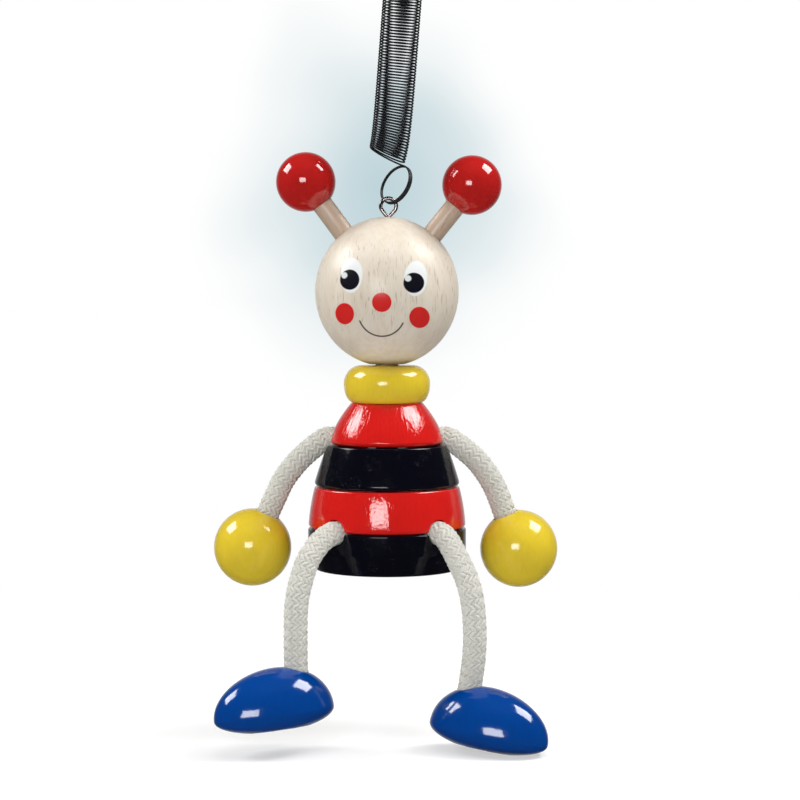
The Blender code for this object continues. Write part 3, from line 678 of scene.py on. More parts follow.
def lacquer(name, base, grain, fibre, scratches=0.0, gloss=0.1, coat=0.3, centre=(0.0, 0.0, 0.0)):
    """Gloss lacquer over turned beech: faint grain under the film, and a little unevenness in it.

    Grain is how much of the wood's figure shows through, and fibre how far it stands up in the film,
    in lines that run up a side turned round the centre.
    """
    made = Shader(name)
    at = made.place(centre)
    streaks = made.noise(made.stretched(at, 1.6, 0.16), 1.0, 4.0, 0.6)
    cloud = made.noise(at, 0.11, 2.0)
    tone = made.times(made.ramp(streaks, 0.35, 0.75), grain)
    tone = made.scaled(made.ramp(cloud, 0.3, 0.7), 0.35 * grain, tone)
    deep = rgba([c * 0.62 for c in base])
    paint = made.mixed(tone, rgba(base), deep)
    if scratches > 0.0:
        warped = made.noise(at, 0.35, 1.0)
        swirl = made.scaled(warped, 9.0, made.noise(made.stretched(at, 0.5, 0.5), 1.3))
        line = made.maths("ABSOLUTE", made.maths("SUBTRACT", made.maths("FRACT", swirl), 0.5))
        fine = made.ramp(line, 0.012, 0.0)
        patch = made.ramp(made.noise(at, 0.22, 1.0), 0.52, 0.62)
        worn = made.times(made.times(fine, patch), scratches)
        paint = made.mixed(worn, paint, rgba([min(1.0, c + 0.12) for c in base]))
    film = made.noise(at, 0.45, 1.0)
    round_it = made.vector("NORMALIZE", made.stretched(at, 1.0, 0.0))
    up_side = made.vector("MULTIPLY_ADD", round_it, (24.0, 24.0, 0.0), made.stretched(at, 0.0, 0.25))
    fibres = made.noise(up_side, 1.0, 1.0, 0.5)
    stands = made.ramp(made.parts(at)["Z"], 20.0, 34.0, 0.35 * fibre, fibre)
    rough_film = made.scaled(made.noise(at, 1.3, 1.0), 0.5 * fibre, made.times(film, 0.4))
    height = made.scaled(fibres, stands, rough_film)
    rough = made.ramp(streaks, 0.3, 0.7, gloss * 0.8, gloss * 1.35, smooth=False)
    made.set(Base_Color=paint, Roughness=rough, Normal=made.bumps(height, FILM_DEPTH, 0.8))
    made.set(Coat_Weight=coat, Coat_Roughness=0.04, Specular_IOR_Level=0.35 + 0.5 * coat)
    return made.material


def beech(name, pale, dark, fleck_colour, centre=(0.0, 0.0, 0.0), rotation=(0.0, 0.0, 0.0)):
    """Pale varnished beech with its grain along the piece's own Z: soft streaks and short dark flecks."""
    made = Shader(name)
    at = made.place(centre, rotation)
    wander = made.noise(made.stretched(at, 0.08, 0.02), 1.0, 2.0)
    across = made.parts(at)
    side = made.scaled(wander, 5.0, across["X"])
    bent = made.add("ShaderNodeCombineXYZ", {0: side, 1: across["Y"], 2: across["Z"]}).outputs[0]
    streaks = made.noise(made.stretched(bent, 0.75, 0.045), 1.0, 4.0, 0.62)
    growth = made.noise(made.stretched(bent, 0.2, 0.012), 1.0, 2.0, 0.5)
    tone = made.times(made.ramp(streaks, 0.36, 0.72), 0.4)
    tone = made.scaled(made.ramp(growth, 0.35, 0.7), 0.2, tone)
    wood = made.mixed(tone, rgba(pale), rgba(dark))
    dashes = made.noise(made.vector("MULTIPLY", bent, (3.0, 0.55, 0.3)), 1.0, 1.0, 0.4)
    sparse = made.ramp(made.noise(made.stretched(at, 0.3, 0.08), 1.0, 1.0), 0.3, 0.55)
    steep = made.ramp(made.maths("ABSOLUTE", made.maths("SUBTRACT", across["Z"], 2.0)), 14.0, 7.0)
    fleck = made.times(made.ramp(dashes, 0.62, 0.7), made.times(sparse, steep))
    wood = made.mixed(made.times(fleck, 0.42), wood, rgba(fleck_colour))
    height = made.scaled(fleck, -0.5, made.times(streaks, 0.5))
    made.set(Base_Color=wood, Normal=made.bumps(height, GRAIN_DEPTH, 0.5))
    made.set(Roughness=made.ramp(streaks, 0.3, 0.7, 0.36, 0.46, smooth=False))
    made.set(Coat_Weight=0.15, Coat_Roughness=0.3)
    return made, wood, height


def painted_face(name, colours, face, centre):
    """The head's beech with the face painted on its front."""
    rotation = Euler((0.0, face.face_roll, -face.face_turn), "XYZ")
    tones = colours.beech, colours.beech_dark, colours.beech_fleck
    made, wood, height = beech(name, *tones, centre)
    at = made.place(centre, rotation)
    front = made.ramp(made.parts(at)["Y"], 0.0, -2.0)

    def dot(side, rise, half_width, half_height, soft=0.05):
        off = made.vector("SUBTRACT", at, (side / MM, 0.0, rise / MM))
        shape = (MM / half_width, 0.0, MM / half_height)
        far = made.vector("LENGTH", made.vector("MULTIPLY", off, shape))
        return made.times(made.ramp(far, 1.0 + soft, 1.0 - soft), front)

    film = None
    paint = wood

    def paint_on(mask, colour_of, strength=1.0):
        nonlocal film, paint
        weighed = mask if strength == 1.0 else made.times(mask, strength)
        paint = made.mixed(weighed, paint, rgba(colour_of))
        film = mask if film is None else made.maths("MAXIMUM", film, mask)

    for side in (-1.0, 1.0):
        middle = side * face.eye_spread
        paint_on(dot(middle, face.eye_height, face.white_width, face.white_height), colours.eye_white)
        middle += face.pupil_side
        height_of = face.eye_height - face.pupil_drop
        paint_on(dot(middle, height_of, face.pupil_radius, face.pupil_radius), colours.pupil)
        middle += face.glint_side
        height_of += face.glint_rise
        shine = dot(middle, height_of, face.glint_radius, face.glint_radius, 0.2)
        paint_on(shine, colours.eye_white, 0.9)
        cheek_width = 0.93 * face.cheek_radius
        middle = side * face.cheek_spread
        paint_on(dot(middle, -face.cheek_drop, cheek_width, face.cheek_radius), colours.red)
    paint_on(dot(0.0, -face.nose_drop, face.nose_radius, face.nose_radius), colours.red)

    off = made.vector("SUBTRACT", at, (0.0, 0.0, -face.smile_drop / MM))
    far = made.vector("LENGTH", made.vector("MULTIPLY", off, (1.0, 0.0, 1.0)))
    off_line = made.maths("ABSOLUTE", made.maths("SUBTRACT", far, face.smile_radius / MM))
    half_line = face.smile_line / MM / 2.0
    line = made.ramp(off_line, half_line + 0.05, half_line - 0.05)
    ends = -face.smile_reach / MM
    low = made.ramp(made.parts(off)["Z"], ends + 0.1, ends - 0.1)
    paint_on(made.times(made.times(line, low), front), colours.smile, 0.9)

    rough = made.ramp(film, 0.0, 1.0, 0.4, 0.24, smooth=False)
    grain = made.bumps(height, GRAIN_DEPTH, 0.5)
    made.set(Base_Color=paint, Roughness=rough, Normal=made.bumps(film, GRAIN_DEPTH, 0.7, grain))
    return made.material


def cotton(name, colours):
    """Plaited cotton: twisted plies along each strand, soft uneven fibres, and painted shade where fibres
    and plies sink.
    """
    made = Shader(name)
    where = made.add("ShaderNodeTexCoord").outputs["UV"]
    parts = made.parts(where)
    lay = made.scaled(parts["Y"], 6.0, made.times(parts["X"], 0.85))
    ply = made.ramp(made.maths("PINGPONG", lay, 0.5), 0.0, 0.5)
    spread = made.vector("MULTIPLY", where, (1.0, 5.8, 1.0))
    fibres = made.noise(spread, 3.0, 5.0, 0.68)
    cloud = made.noise(spread, 0.35, 2.0)
    height = made.scaled(fibres, 0.8, made.times(ply, 0.5))
    # Painted shade: the cord darkens where its fibres and plies sink, driven by the same noise as their
    # bumps; the cloud adds tone that varies at random.
    tone = made.times(made.ramp(fibres, 0.62, 0.3), 0.55)
    tone = made.scaled(made.ramp(ply, 0.3, 0.0), 0.35, tone)
    tone = made.scaled(made.ramp(cloud, 0.4, 0.7), 0.2, tone)
    made.set(Base_Color=made.mixed(tone, rgba(colours.cotton), rgba(colours.cotton_groove_shade)))
    made.set(Roughness=0.92, Normal=made.bumps(height, FIBRE_DEPTH, 0.8))
    made.set(Sheen_Weight=0.25, Sheen_Roughness=0.5, Specular_IOR_Level=0.15)
    return made.material


def metal(name, base, roughness, wear, worn_tone, metallic):
    """Drawn wire: fine draw marks along it, and a slightly uneven finish."""
    made = Shader(name)
    where = made.add("ShaderNodeTexCoord").outputs["UV"]
    drawn = made.noise(made.vector("MULTIPLY", where, (0.35, 14.0, 1.0)), 1.0, 3.0, 0.6)
    patches = made.noise(made.place(), 0.8, 3.0, 0.6)
    tone = made.times(made.ramp(patches, 0.45, 0.7), wear)
    made.set(Base_Color=made.mixed(tone, rgba(base), rgba(worn_tone)), Metallic=metallic)
    made.set(Roughness=made.ramp(drawn, 0.3, 0.7, roughness * 0.8, roughness * 1.3, smooth=False))
    made.set(Normal=made.bumps(drawn, DRAW_DEPTH, 0.5))
    return made.material


FINISH_MAKERS = {
    "red_lacquer": lambda name, c: lacquer(name, c.red, 0.16, 1.1, gloss=0.08, centre=SEAT),
    "ball_lacquer": lambda name, c: lacquer(name, c.ball_red, 0.2, 0.0, gloss=0.08),
    "black_lacquer": lambda name, c: lacquer(name, c.black, 0.3, 0.4, scratches=1.0, coat=0.0, centre=SEAT),
    "yellow_lacquer": lambda name, c: lacquer(name, c.yellow, 0.14, 0.1, gloss=0.14, centre=SEAT),
    "blue_lacquer": lambda name, c: lacquer(name, c.blue, 0.2, 0.1),
    "bare_beech": lambda name, c: beech(name, c.stick, c.stick_dark, c.beech_fleck)[0].material,
    "cotton_cord": cotton,
    "nickel": lambda name, c: metal(name, c.nickel, 0.22, 0.4, (0.16, 0.14, 0.13), 1.0),
    "black_steel": lambda name, c: metal(name, c.steel, 0.5, 0.4, (0.01, 0.012, 0.018), 0.0),
}
FINISHES = {}


def finish_of(name):
    """A finish that several pieces share, made the first time that one asks for it."""
    if name not in FINISHES:
        FINISHES[name] = FINISH_MAKERS[name](name, chosen("colours"))
    return FINISHES[name]


def ball(name, radius, around, up, finish, place):
    """A turned ball, with its faces counted around it and from pole to pole."""
    bm = bmesh.new()
    bmesh.ops.create_uvsphere(bm, u_segments=around, v_segments=up, radius=radius)
    return finished(name, bm, finish_of(finish), place)


def stands_for(made, slot, body, *nodes):
    """Hangs a piece on the body that it rides on and hides the CAD nodes that it stands for; the slot is not
    used.
    """
    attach(made, body)
    if nodes:
        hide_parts(*nodes)
    return made


def of_limb(limb, name):
    """A size that arms and legs each have their own of."""
    return getattr(chosen("limbs"), f"{limb}_{name}")


def limb_out(limb, side):
    """The level direction in which a limb's cord leaves the body."""
    if limb == "arm":
        return SIDES[side] * X_AXIS
    spread = chosen("limbs").leg_spread
    return Vector((SIDES[side] * math.sin(spread), -math.cos(spread), 0.0))


def limb_mouth(limb, side):
    """Where a limb's cord starts to be free."""
    height = chosen("body").ring_height
    if limb == "arm":
        height = 3.0 * height + chosen("limbs").arm_rise
    return on_axis(height) + of_limb(limb, "exit") * limb_out(limb, side)


def limb_route(limb, side):
    """The points that a limb's cord follows outside the body."""
    out = limb_out(limb, side)
    sideways = Y_AXIS if limb == "arm" else Z_AXIS.cross(out)
    mouth = limb_mouth(limb, side)
    free = of_limb(limb, "free")
    shares = (ARM_ROUTE if limb == "arm" else LEG_ROUTE)[side]
    return [mouth] + [mouth + free * (a * out + b * sideways + c * Z_AXIS) for a, b, c in shares]


def foot_pose(side):
    """How a foot stands: its toe points out and a little forward, and dips."""
    limbs = chosen("limbs")
    yaw = -limbs.foot_turn if side == "left" else math.pi + limbs.foot_turn
    dip = getattr(limbs, f"{side}_dip")
    roll = Matrix.Rotation(-SIDES[side] * limbs.foot_roll, 4, "X")
    return Matrix.Rotation(yaw, 4, "Z") @ Matrix.Rotation(dip, 4, "Y") @ roll


def limb_end(limb, side):
    """Where a cord enters its hand or foot, and the way it goes in."""
    route = limb_route(limb, side)
    if limb == "arm":
        return route[-1], (route[-1] - route[-2]).normalized()
    return route[-1], -(foot_pose(side).to_3x3() @ Z_AXIS)


def cord_hole():
    return chosen("limbs").cord_diameter / 2.0 + chosen("body").bore_gap


def end_hole(entry, into):
    """A cord's hole in its hand or foot."""
    return entry - DRILL_OVER * into, entry + chosen("limbs").hole_depth * into, cord_hole()


def body_holes(ring):
    """The cord holes that pass through a ring."""
    limb = "arm" if ring in ("body_ring_1", "body_ring_2") else "leg"
    depth = of_limb(limb, "exit") - of_limb(limb, "floor")
    holes = []
    for side in SIDES:
        out, mouth = limb_out(limb, side), limb_mouth(limb, side)
        holes.append((mouth - depth * out, mouth + RING_DRILL_OVER * out, cord_hole()))
    return holes


class SPRINGTOY_OT_rings(Operator):
    """Turns the four body rings and drills the cord holes through them"""

    bl_idname = "spring_toy.rings"
    bl_label = "Body rings"

    def execute(self, context):
        body = chosen("body")
        hole = body.dowel_radius + body.bore_gap
        height = body.ring_height - body.glue_line
        edge = body.ring_edge
        for i, (name, slot) in enumerate(RING_FINISHES.items()):
            top, seat = body.ring_tops[i], body.ring_seats[i]
            if i == RINGS - 1:
                side = [(top, height), (top, height - body.ring_4_straight), (seat, 0.0)]
                outer = rounded([(hole, height), *side, (0.0, 0.0)], (edge, 4.0 * edge, body.lower_edge))
                bm = turned([(0.0, body.dowel_floor), (hole, body.dowel_floor), *outer])
            else:
                tall = height if i else body.ring_height - body.neck_gap
                upper_edge = edge if i else body.ring_1_edge
                outer = [(hole, tall), (top, tall), (seat, 0.0), (hole, 0.0)]
                outer = rounded(outer, (upper_edge, body.lower_edge))
                bm = turned(self.swollen(outer, tall, body.ring_bulges[i]), closed=True)
            at = on_axis((RINGS - 1 - i) * body.ring_height)
            made = finished(name + "_turned", bm, finish_of(slot), Matrix.Translation(at))
            bored(made, body_holes(name), RING_HOLE_EDGE)
            stands_for(made, slot, "figure", name)
        return {"FINISHED"}

    def swollen(self, outline, height, bulge):
        """The outline with its side cut into short runs that swell outward halfway down."""
        made = []
        runs = 14
        for one, other in zip(outline, outline[1:]):
            made.append(one)
            if abs(other[1] - one[1]) > 0.5 * height:
                made += [Vector(one).lerp(Vector(other), i / runs) for i in range(1, runs)]
        made.append(outline[-1])
        for point in made[1:-1]:
            share_up = point[1] / height
            point[0] += bulge * 4.0 * share_up * (1.0 - share_up)
        return made


class SPRINGTOY_OT_collar(Operator):
    """Turns the yellow collar"""

    bl_idname = "spring_toy.collar"
    bl_label = "Collar"

    def execute(self, context):
        body = chosen("body")
        hole = body.dowel_radius + body.bore_gap
        height = body.collar_height - body.glue_line
        radius = body.collar_radius
        half = height / 2.0
        outline = [(hole, height)]
        steps = 36
        for i in range(steps + 1):
            angle = math.pi * (0.5 - i / steps)
            inset = body.collar_top if angle > 0.0 else body.collar_bottom
            outline.append((radius - inset * (1.0 - math.cos(angle)), half + half * math.sin(angle)))
        outline.append((hole, 0.0))
        bm = turned(outline, closed=True)
        at = on_axis(RINGS * body.ring_height)
        made = finished("collar_turned", bm, finish_of("yellow_lacquer"), Matrix.Translation(at))
        stands_for(made, "yellow_lacquer", "figure", "collar")
        return {"FINISHED"}


def head_base():
    body = chosen("body")
    return RINGS * body.ring_height + body.collar_height + body.glue_line


def head_drop(head):
    """From the head's middle down to its flat."""
    return head.half_height * math.sqrt(1.0 - (head.flat_radius / head.half_width) ** 2)


def head_middle():
    head = chosen("head")
    return on_axis(head_base() + head_drop(head))


def antenna_way(head, side):
    lean = getattr(head, f"{side}_lean")
    return Vector((SIDES[side] * math.sin(lean), 0.0, math.cos(lean)))


def head_surface(head, way):
    """From the head's middle to its surface, along a way in the face's plane."""
    return 1.0 / math.hypot(way.x / head.half_width, way.z / head.half_height)


def eye_middle():
    head = chosen("head")
    top = head_middle() + head.half_height * Z_AXIS
    lift = EYE_GAP + head.eye_ring + head.eye_wire / 2.0
    return top + Vector((head.eye_side, 0.0, lift))


class SPRINGTOY_OT_head(Operator):
    """Turns the head, drills it and paints its face"""

    bl_idname = "spring_toy.head"
    bl_label = "Head"

    def execute(self, context):
        head, body = chosen("head"), chosen("body")
        hole = body.dowel_radius + body.bore_gap
        drop = head_drop(head)
        lowest = -math.asin(drop / head.half_height)
        steps = 56
        outline = []
        for i in range(steps + 1):
            angle = math.pi / 2.0 + (lowest - math.pi / 2.0) * i / steps
            radius = head.half_width * math.cos(angle) if i else 0.0
            outline.append((radius, drop + head.half_height * math.sin(angle)))
        ceiling = head.dowel_depth + body.bore_gap
        outline += [(hole, 0.0), (hole, ceiling), (0.0, ceiling)]
        bm = turned(outline, steps=144)
        middle = head_middle()
        face = painted_face("painted_beech", chosen("colours"), chosen("face"), middle)
        at = on_axis(head_base())
        made = finished("head_turned", bm, face, Matrix.Translation(at))
        holes = []
        for side in SIDES:
            way = antenna_way(head, side)
            reach = head_surface(head, way)
            low = middle + (reach - head.antenna_in_head - body.bore_gap) * way
            high = middle + (reach + DRILL_OVER) * way
            holes.append((low, high, head.antenna_radius + DOWEL_GAP))
        eye = eye_middle()
        low = Vector((eye.x, eye.y, middle.z + head.half_height - head.eye_depth - body.bore_gap))
        holes.append((low, eye, head.eye_wire / 2.0 + DOWEL_GAP))
        bored(made, holes, 0.0)
        stands_for(made, "bare_beech", "figure", "head")
        return {"FINISHED"}


class SPRINGTOY_OT_antennae(Operator):
    """Turns the antenna dowels and their balls"""

    bl_idname = "spring_toy.antennae"
    bl_label = "Antennae"

    def execute(self, context):
        head, body = chosen("head"), chosen("body")
        middle = head_middle()
        for side in SIDES:
            way = antenna_way(head, side)
            reach = head_surface(head, way)
            ball_start = reach + head.bare_dowel
            low, high = reach - head.antenna_in_head, ball_start + head.antenna_in_ball
            radius = head.antenna_radius
            outline = [(0.0, high - low), (radius, high - low), (radius, 0.0), (0.0, 0.0)]
            bm = turned(rounded(outline, (DOWEL_EDGE, DOWEL_EDGE), 3), steps=64)
            angles = pointing(way).to_euler()
            colours = chosen("colours")
            tones = colours.stick, colours.stick_dark, colours.beech_fleck
            base = middle + low * way
            wood = beech(f"{side}_stick_beech", *tones, base, angles)[0].material
            made = finished(f"{side}_antenna_stick", bm, wood, placed(base, way))
            stands_for(made, "bare_beech", "figure", f"{side}_antenna_dowel")
            at = placed(middle + (ball_start + head.ball_radius) * way, way)
            made = ball(f"{side}_antenna_bead", head.ball_radius, 72, 40, "ball_lacquer", at)
            start = middle + (ball_start - DRILL_OVER) * way
            end = middle + (high + body.bore_gap) * way
            bored(made, [(start, end, radius + DOWEL_GAP)], 0.0)
            stands_for(made, "red_lacquer", "figure", f"{side}_antenna_ball")
        return {"FINISHED"}


class SPRINGTOY_OT_screw_eye(Operator):
    """Bends the screw eye from its wire"""

    bl_idname = "spring_toy.screw_eye"
    bl_label = "Screw eye"

    def execute(self, context):
        head = chosen("head")
        eye = eye_middle()
        wire, ring = head.eye_wire, head.eye_ring
        top = head_middle().z + head.half_height
        rough = [Vector((eye.x, eye.y, top - head.eye_depth))]
        rough += [eye + ring * Vector((x, 0.0, z)) for x, z in EYE_NECK]
        first, last = -34.0 * DEG, 214.0 * DEG
        steps = 40
        for i in range(steps + 1):
            angle = first + (last - first) * i / steps
            forward = -0.8 * wire * smooth_step(3.0 * i / steps - 2.0)
            rough.append(eye + Vector((ring * math.cos(angle), forward, ring * math.sin(angle))))
        rough += [eye + Vector((ring * x, -0.86 * wire, ring * z)) for x, z in EYE_TIP]
        line = smooth_line(rough, EYE_STEP, Z_AXIS, (rough[-1] - rough[-2]).normalized())
        made = swept("screw_eye_wire", [(line, wire / 2.0)], 4, finish_of("nickel"))
        stands_for(made, "nickel", "figure", "screw_eye")
        return {"FINISHED"}


def loop_axes(spring):
    """The lower loop's long axis, its cross axis and its normal, as unit vectors."""
    along = Vector((math.sin(spring.loop_lean), 0.0, math.cos(spring.loop_lean)))
    level = Vector((math.cos(spring.loop_lean), 0.0, -math.sin(spring.loop_lean)))
    across = math.cos(spring.loop_twist) * level - math.sin(spring.loop_twist) * Y_AXIS
    return along, across, along.cross(across)


def loop_offset(spring, angle):
    """A point of the lower loop's wire, from the loop's middle; at angle 0 the coil's wire comes in."""
    along, across, normal = loop_axes(spring)
    round_it = math.cos(angle) * along + math.sin(angle) * across
    return spring.loop_radius * round_it + spring.loop_pitch * angle / math.tau * normal


def turn_spoke(spring, lean, up, angle):
    """From a turn's middle to its wire, a number of turns up from the lower loop.

    The lowest turns slope down to the toy's left, and every turn's front edge is raised a little.
    """
    slope = lean + (spring.end_slope - lean) * math.exp(-up / spring.end_fade)
    level = Vector((math.cos(slope), 0.0, -math.sin(slope)))
    back = Y_AXIS - math.tan(spring.turn_tip) * Z_AXIS
    return spring.coil_radius * (math.cos(angle) * level + math.sin(angle) * back)


class SPRINGTOY_OT_spring(Operator):
    """Winds the spring: top loop, long coil, leaning end turns and end loop"""

    bl_idname = "spring_toy.spring"
    bl_label = "Spring"

    def execute(self, context):
        spring = chosen("spring")
        steel = finish_of("black_steel")
        start = Vector(JOINTS["end_loop_nod"]["pos_m"])
        top = Vector(JOINTS["spring_spin"]["pos_m"])
        axis = Vector(JOINTS["spring_spin"]["axis"]).normalized()
        lean = math.atan2(axis.x, axis.z)
        angle = self.first_angle(spring)
        drift = Vector((spring.drift_side, spring.drift_back, spring.drift_up))
        sway = start + drift - turn_spoke(spring, lean, 0.0, angle) - top
        reach = -sway.dot(axis)
        sway += reach * axis
        fade = spring.end_fade
        whole = math.floor((reach + (spring.coil_pitch - spring.end_pitch) * fade) / spring.coil_pitch)
        last_turn = whole + (0.5 - angle / math.tau - whole) % 1.0
        pitch = (reach - spring.end_pitch * fade) / (last_turn - fade)

        def middle(at):
            rise = pitch * at - (pitch - spring.end_pitch) * fade * (1.0 - math.exp(-at / fade))
            back = math.exp(-at / spring.sway_fade) * sway - (1.0 - smooth_step(2.0 * at)) * drift
            return top + (rise - reach) * axis + back

        def wound(first, last):
            steps = math.ceil((last - first) * spring.steps)
            line = []
            for i in range(steps + 1):
                at = first + (last - first) * i / steps
                line.append(middle(at) + turn_spoke(spring, lean, at, angle + math.tau * at))
            return line

        end_turns = wound(0.0, spring.end_turns)
        coil = wound(spring.end_turns, last_turn)
        loop = self.end_loop(spring, start)
        top_loop = self.top_loop(spring, coil[-1])
        radius = spring.wire / 2.0
        made = swept("coil_wire", [(coil, radius)], 2, steel)
        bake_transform(made)
        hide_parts("spring_coil")
        for name, line, body, node in (
            ("top_loop_wire", top_loop, "hanger", "spring_top_loop"),
            ("end_turns_wire", end_turns, "end_turns", "spring_end_turns"),
            ("end_loop_wire", loop, "end_loop", "spring_end_loop"),
        ):
            made = swept(name, [(line, radius)], 3, steel)
            stands_for(made, "black_steel", body, node)
        return {"FINISHED"}

    def first_angle(self, spring):
        """Round the last turn, where the wire already runs the way the lower loop starts."""
        across = loop_axes(spring)[1]
        level = Vector((math.cos(spring.end_slope), 0.0, -math.sin(spring.end_slope)))
        return math.atan2(across.dot(level), -across.y)

    def end_loop(self, spring, start):
        centre = start - loop_offset(spring, 0.0)
        steps = round(2 * spring.steps * spring.loop_turns)
        sweep = math.tau * spring.loop_turns
        return [centre + loop_offset(spring, sweep * i / steps) for i in range(steps + 1)]

    def top_loop(self, spring, start):
        """A tight bend up from the coil, the upright leg and the loop round the coil's axis."""
        lead = start - spring.wire * Y_AXIS
        line = [start, lead]
        steps = 8
        for i in range(1, steps + 1):
            angle = math.pi / 2.0 * i / steps
            line.append(lead + spring.top_bend * Vector((0.0, -math.sin(angle), 1.0 - math.cos(angle))))
        leg = line[-1]
        radius = spring.loop_radius
        centre = Vector((leg.x + radius, leg.y, start.z + spring.top_lift + radius))
        steps = round(2 * spring.steps * spring.top_sweep / math.tau)
        for i in range(steps + 1):
            angle = math.pi - spring.top_sweep * i / steps
            line.append(centre + radius * Vector((math.cos(angle), 0.0, math.sin(angle))))
        return line


def cord_line(limb, side):
    """The middle line of a whole cord, with its glued ends, in fine even steps."""
    limbs, gap = chosen("limbs"), chosen("body").bore_gap
    out = limb_out(limb, side)
    route = limb_route(limb, side)
    entry, into = limb_end(limb, side)
    inner = route[0] - (of_limb(limb, "exit") - of_limb(limb, "floor") - gap) * out
    free = smooth_line(route, limbs.cord_step, out, into)
    far = entry + (limbs.hole_depth - gap) * into
    return evenly([inner, *free, far], limbs.cord_step)


def plait(line, limbs):
    """The lines of a cord's yarns round its middle line, in pairs that go over one and under one."""
    rate = math.tau / (limbs.strands * limbs.stitch)
    beside = limbs.yarn_radius / (limbs.strand_ring * math.cos(math.atan(rate * limbs.strand_ring)))
    side = (line[1] - line[0]).orthogonal().normalized()
    run = 0.0
    spokes = []
    for before, point, after in zip([line[0], *line], line, [*line[1:], line[-1]]):
        way = (after - before).normalized()
        side = (side - side.dot(way) * way).normalized()
        run += (point - before).length
        spokes.append((run, side.copy(), way.cross(side)))
    yarns = []
    for direction in (1.0, -1.0):
        for number in range(2 * limbs.strands):
            strand, which = divmod(number, 2)
            first = math.tau * strand / limbs.strands + beside * (2 * which - 1)
            yarn = []
            for point, (at, one, other) in zip(line, spokes):
                rise = direction * limbs.strand_weave * math.cos(math.tau * at / limbs.stitch)
                angle = first + direction * rate * at
                spoke = math.cos(angle) * one + math.sin(angle) * other
                yarn.append(point + (limbs.strand_ring + rise) * spoke)
            yarns.append(yarn)
    return yarns


class SPRINGTOY_OT_cords(Operator):
    """Plaits the four limb cords and lays them along their routes"""

    bl_idname = "spring_toy.cords"
    bl_label = "Cords"

    def execute(self, context):
        limbs = chosen("limbs")
        finish = finish_of("cotton_cord")
        for side in SIDES:
            for limb in ("arm", "leg"):
                name = f"{side}_{limb}"
                line = cord_line(limb, side)
                lines = [(yarn, limbs.yarn_radius) for yarn in plait(line, limbs)]
                lines.append((line, limbs.strand_ring - limbs.strand_weave))
                made = swept(f"{name}_plait", lines, 2, finish)
                mouth = limb_mouth(limb, side)
                along = (limb_route(limb, side)[2] - mouth).normalized()
                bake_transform(made)
                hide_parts(f"{name}_cord_root", f"{name}_cord")
        return {"FINISHED"}


class SPRINGTOY_OT_hands(Operator):
    """Turns the two hands and drills them for their cords"""

    bl_idname = "spring_toy.hands"
    bl_label = "Hands"

    def execute(self, context):
        limbs = chosen("limbs")
        for side in SIDES:
            entry, into = limb_end("arm", side)
            at = placed(entry + limbs.hand_radius * into, -into)
            made = ball(f"{side}_hand_ball", limbs.hand_radius, 96, 56, "yellow_lacquer", at)
            bored(made, [end_hole(entry, into)], END_HOLE_EDGE)
            stands_for(made, "yellow_lacquer", f"{side}_arm", f"{side}_hand")
        return {"FINISHED"}


class SPRINGTOY_OT_feet(Operator):
    """Shapes the two egg feet, cut flat under their long axis"""

    bl_idname = "spring_toy.feet"
    bl_label = "Feet"

    def execute(self, context):
        limbs = chosen("limbs")
        for side in SIDES:
            bm = bmesh.new()
            bmesh.ops.create_uvsphere(bm, u_segments=96, v_segments=64, radius=1.0)
            for corner in bm.verts:
                slim = 1.0 - limbs.foot_taper * corner.co.x
                corner.co.x *= limbs.foot_length / 2.0
                corner.co.y *= limbs.foot_width / 2.0 * slim
                corner.co.z *= (limbs.foot_dome if corner.co.z > 0.0 else limbs.foot_keel) * slim
                corner.co.z += limbs.foot_rise
            everything = bm.verts[:] + bm.edges[:] + bm.faces[:]
            cut = bmesh.ops.bisect_plane(
                bm, geom=everything, dist=1e-7, plane_co=(0.0, 0.0, 0.0), plane_no=(0.0, 0.0, 1.0),
                clear_inner=True,
            )
            rim = [e for e in cut["geom_cut"] if isinstance(e, bmesh.types.BMEdge)]
            bmesh.ops.contextual_create(bm, geom=rim)
            bmesh.ops.recalc_face_normals(bm, faces=bm.faces)
            rim = [e for e in bm.edges if all(abs(v.co.z) < 1e-7 for v in e.verts)]
            bmesh.ops.bevel(
                bm, geom=rim, offset=limbs.sole_edge, segments=5, profile=0.5, affect="EDGES",
                material=-1,
            )
            entry, into = limb_end("leg", side)
            share_back = limbs.foot_hole / (limbs.foot_length / 2.0)
            wide = math.sqrt(1.0 - share_back**2) * (1.0 + limbs.foot_taper * share_back)
            top = limbs.foot_rise + limbs.foot_dome * wide
            pose = foot_pose(side)
            at = entry - pose @ Vector((-limbs.foot_hole, 0.0, top))
            made = finished(f"{side}_foot_egg", bm, finish_of("blue_lacquer"), Matrix.Translation(at) @ pose)
            bored(made, [end_hole(entry, into)], END_HOLE_EDGE)
            stands_for(made, "blue_lacquer", f"{side}_leg", f"{side}_foot")
        return {"FINISHED"}


class SPRINGTOY_OT_dowel(Operator):
    """Gives the hidden centre dowel its wood"""

    bl_idname = "spring_toy.dowel"
    bl_label = "Centre dowel"

    def execute(self, context):
        node = frame["nodes"]["centre_dowel"]
        for slot in node.material_slots:
            slot.material = finish_of("bare_beech")
        return {"FINISHED"}


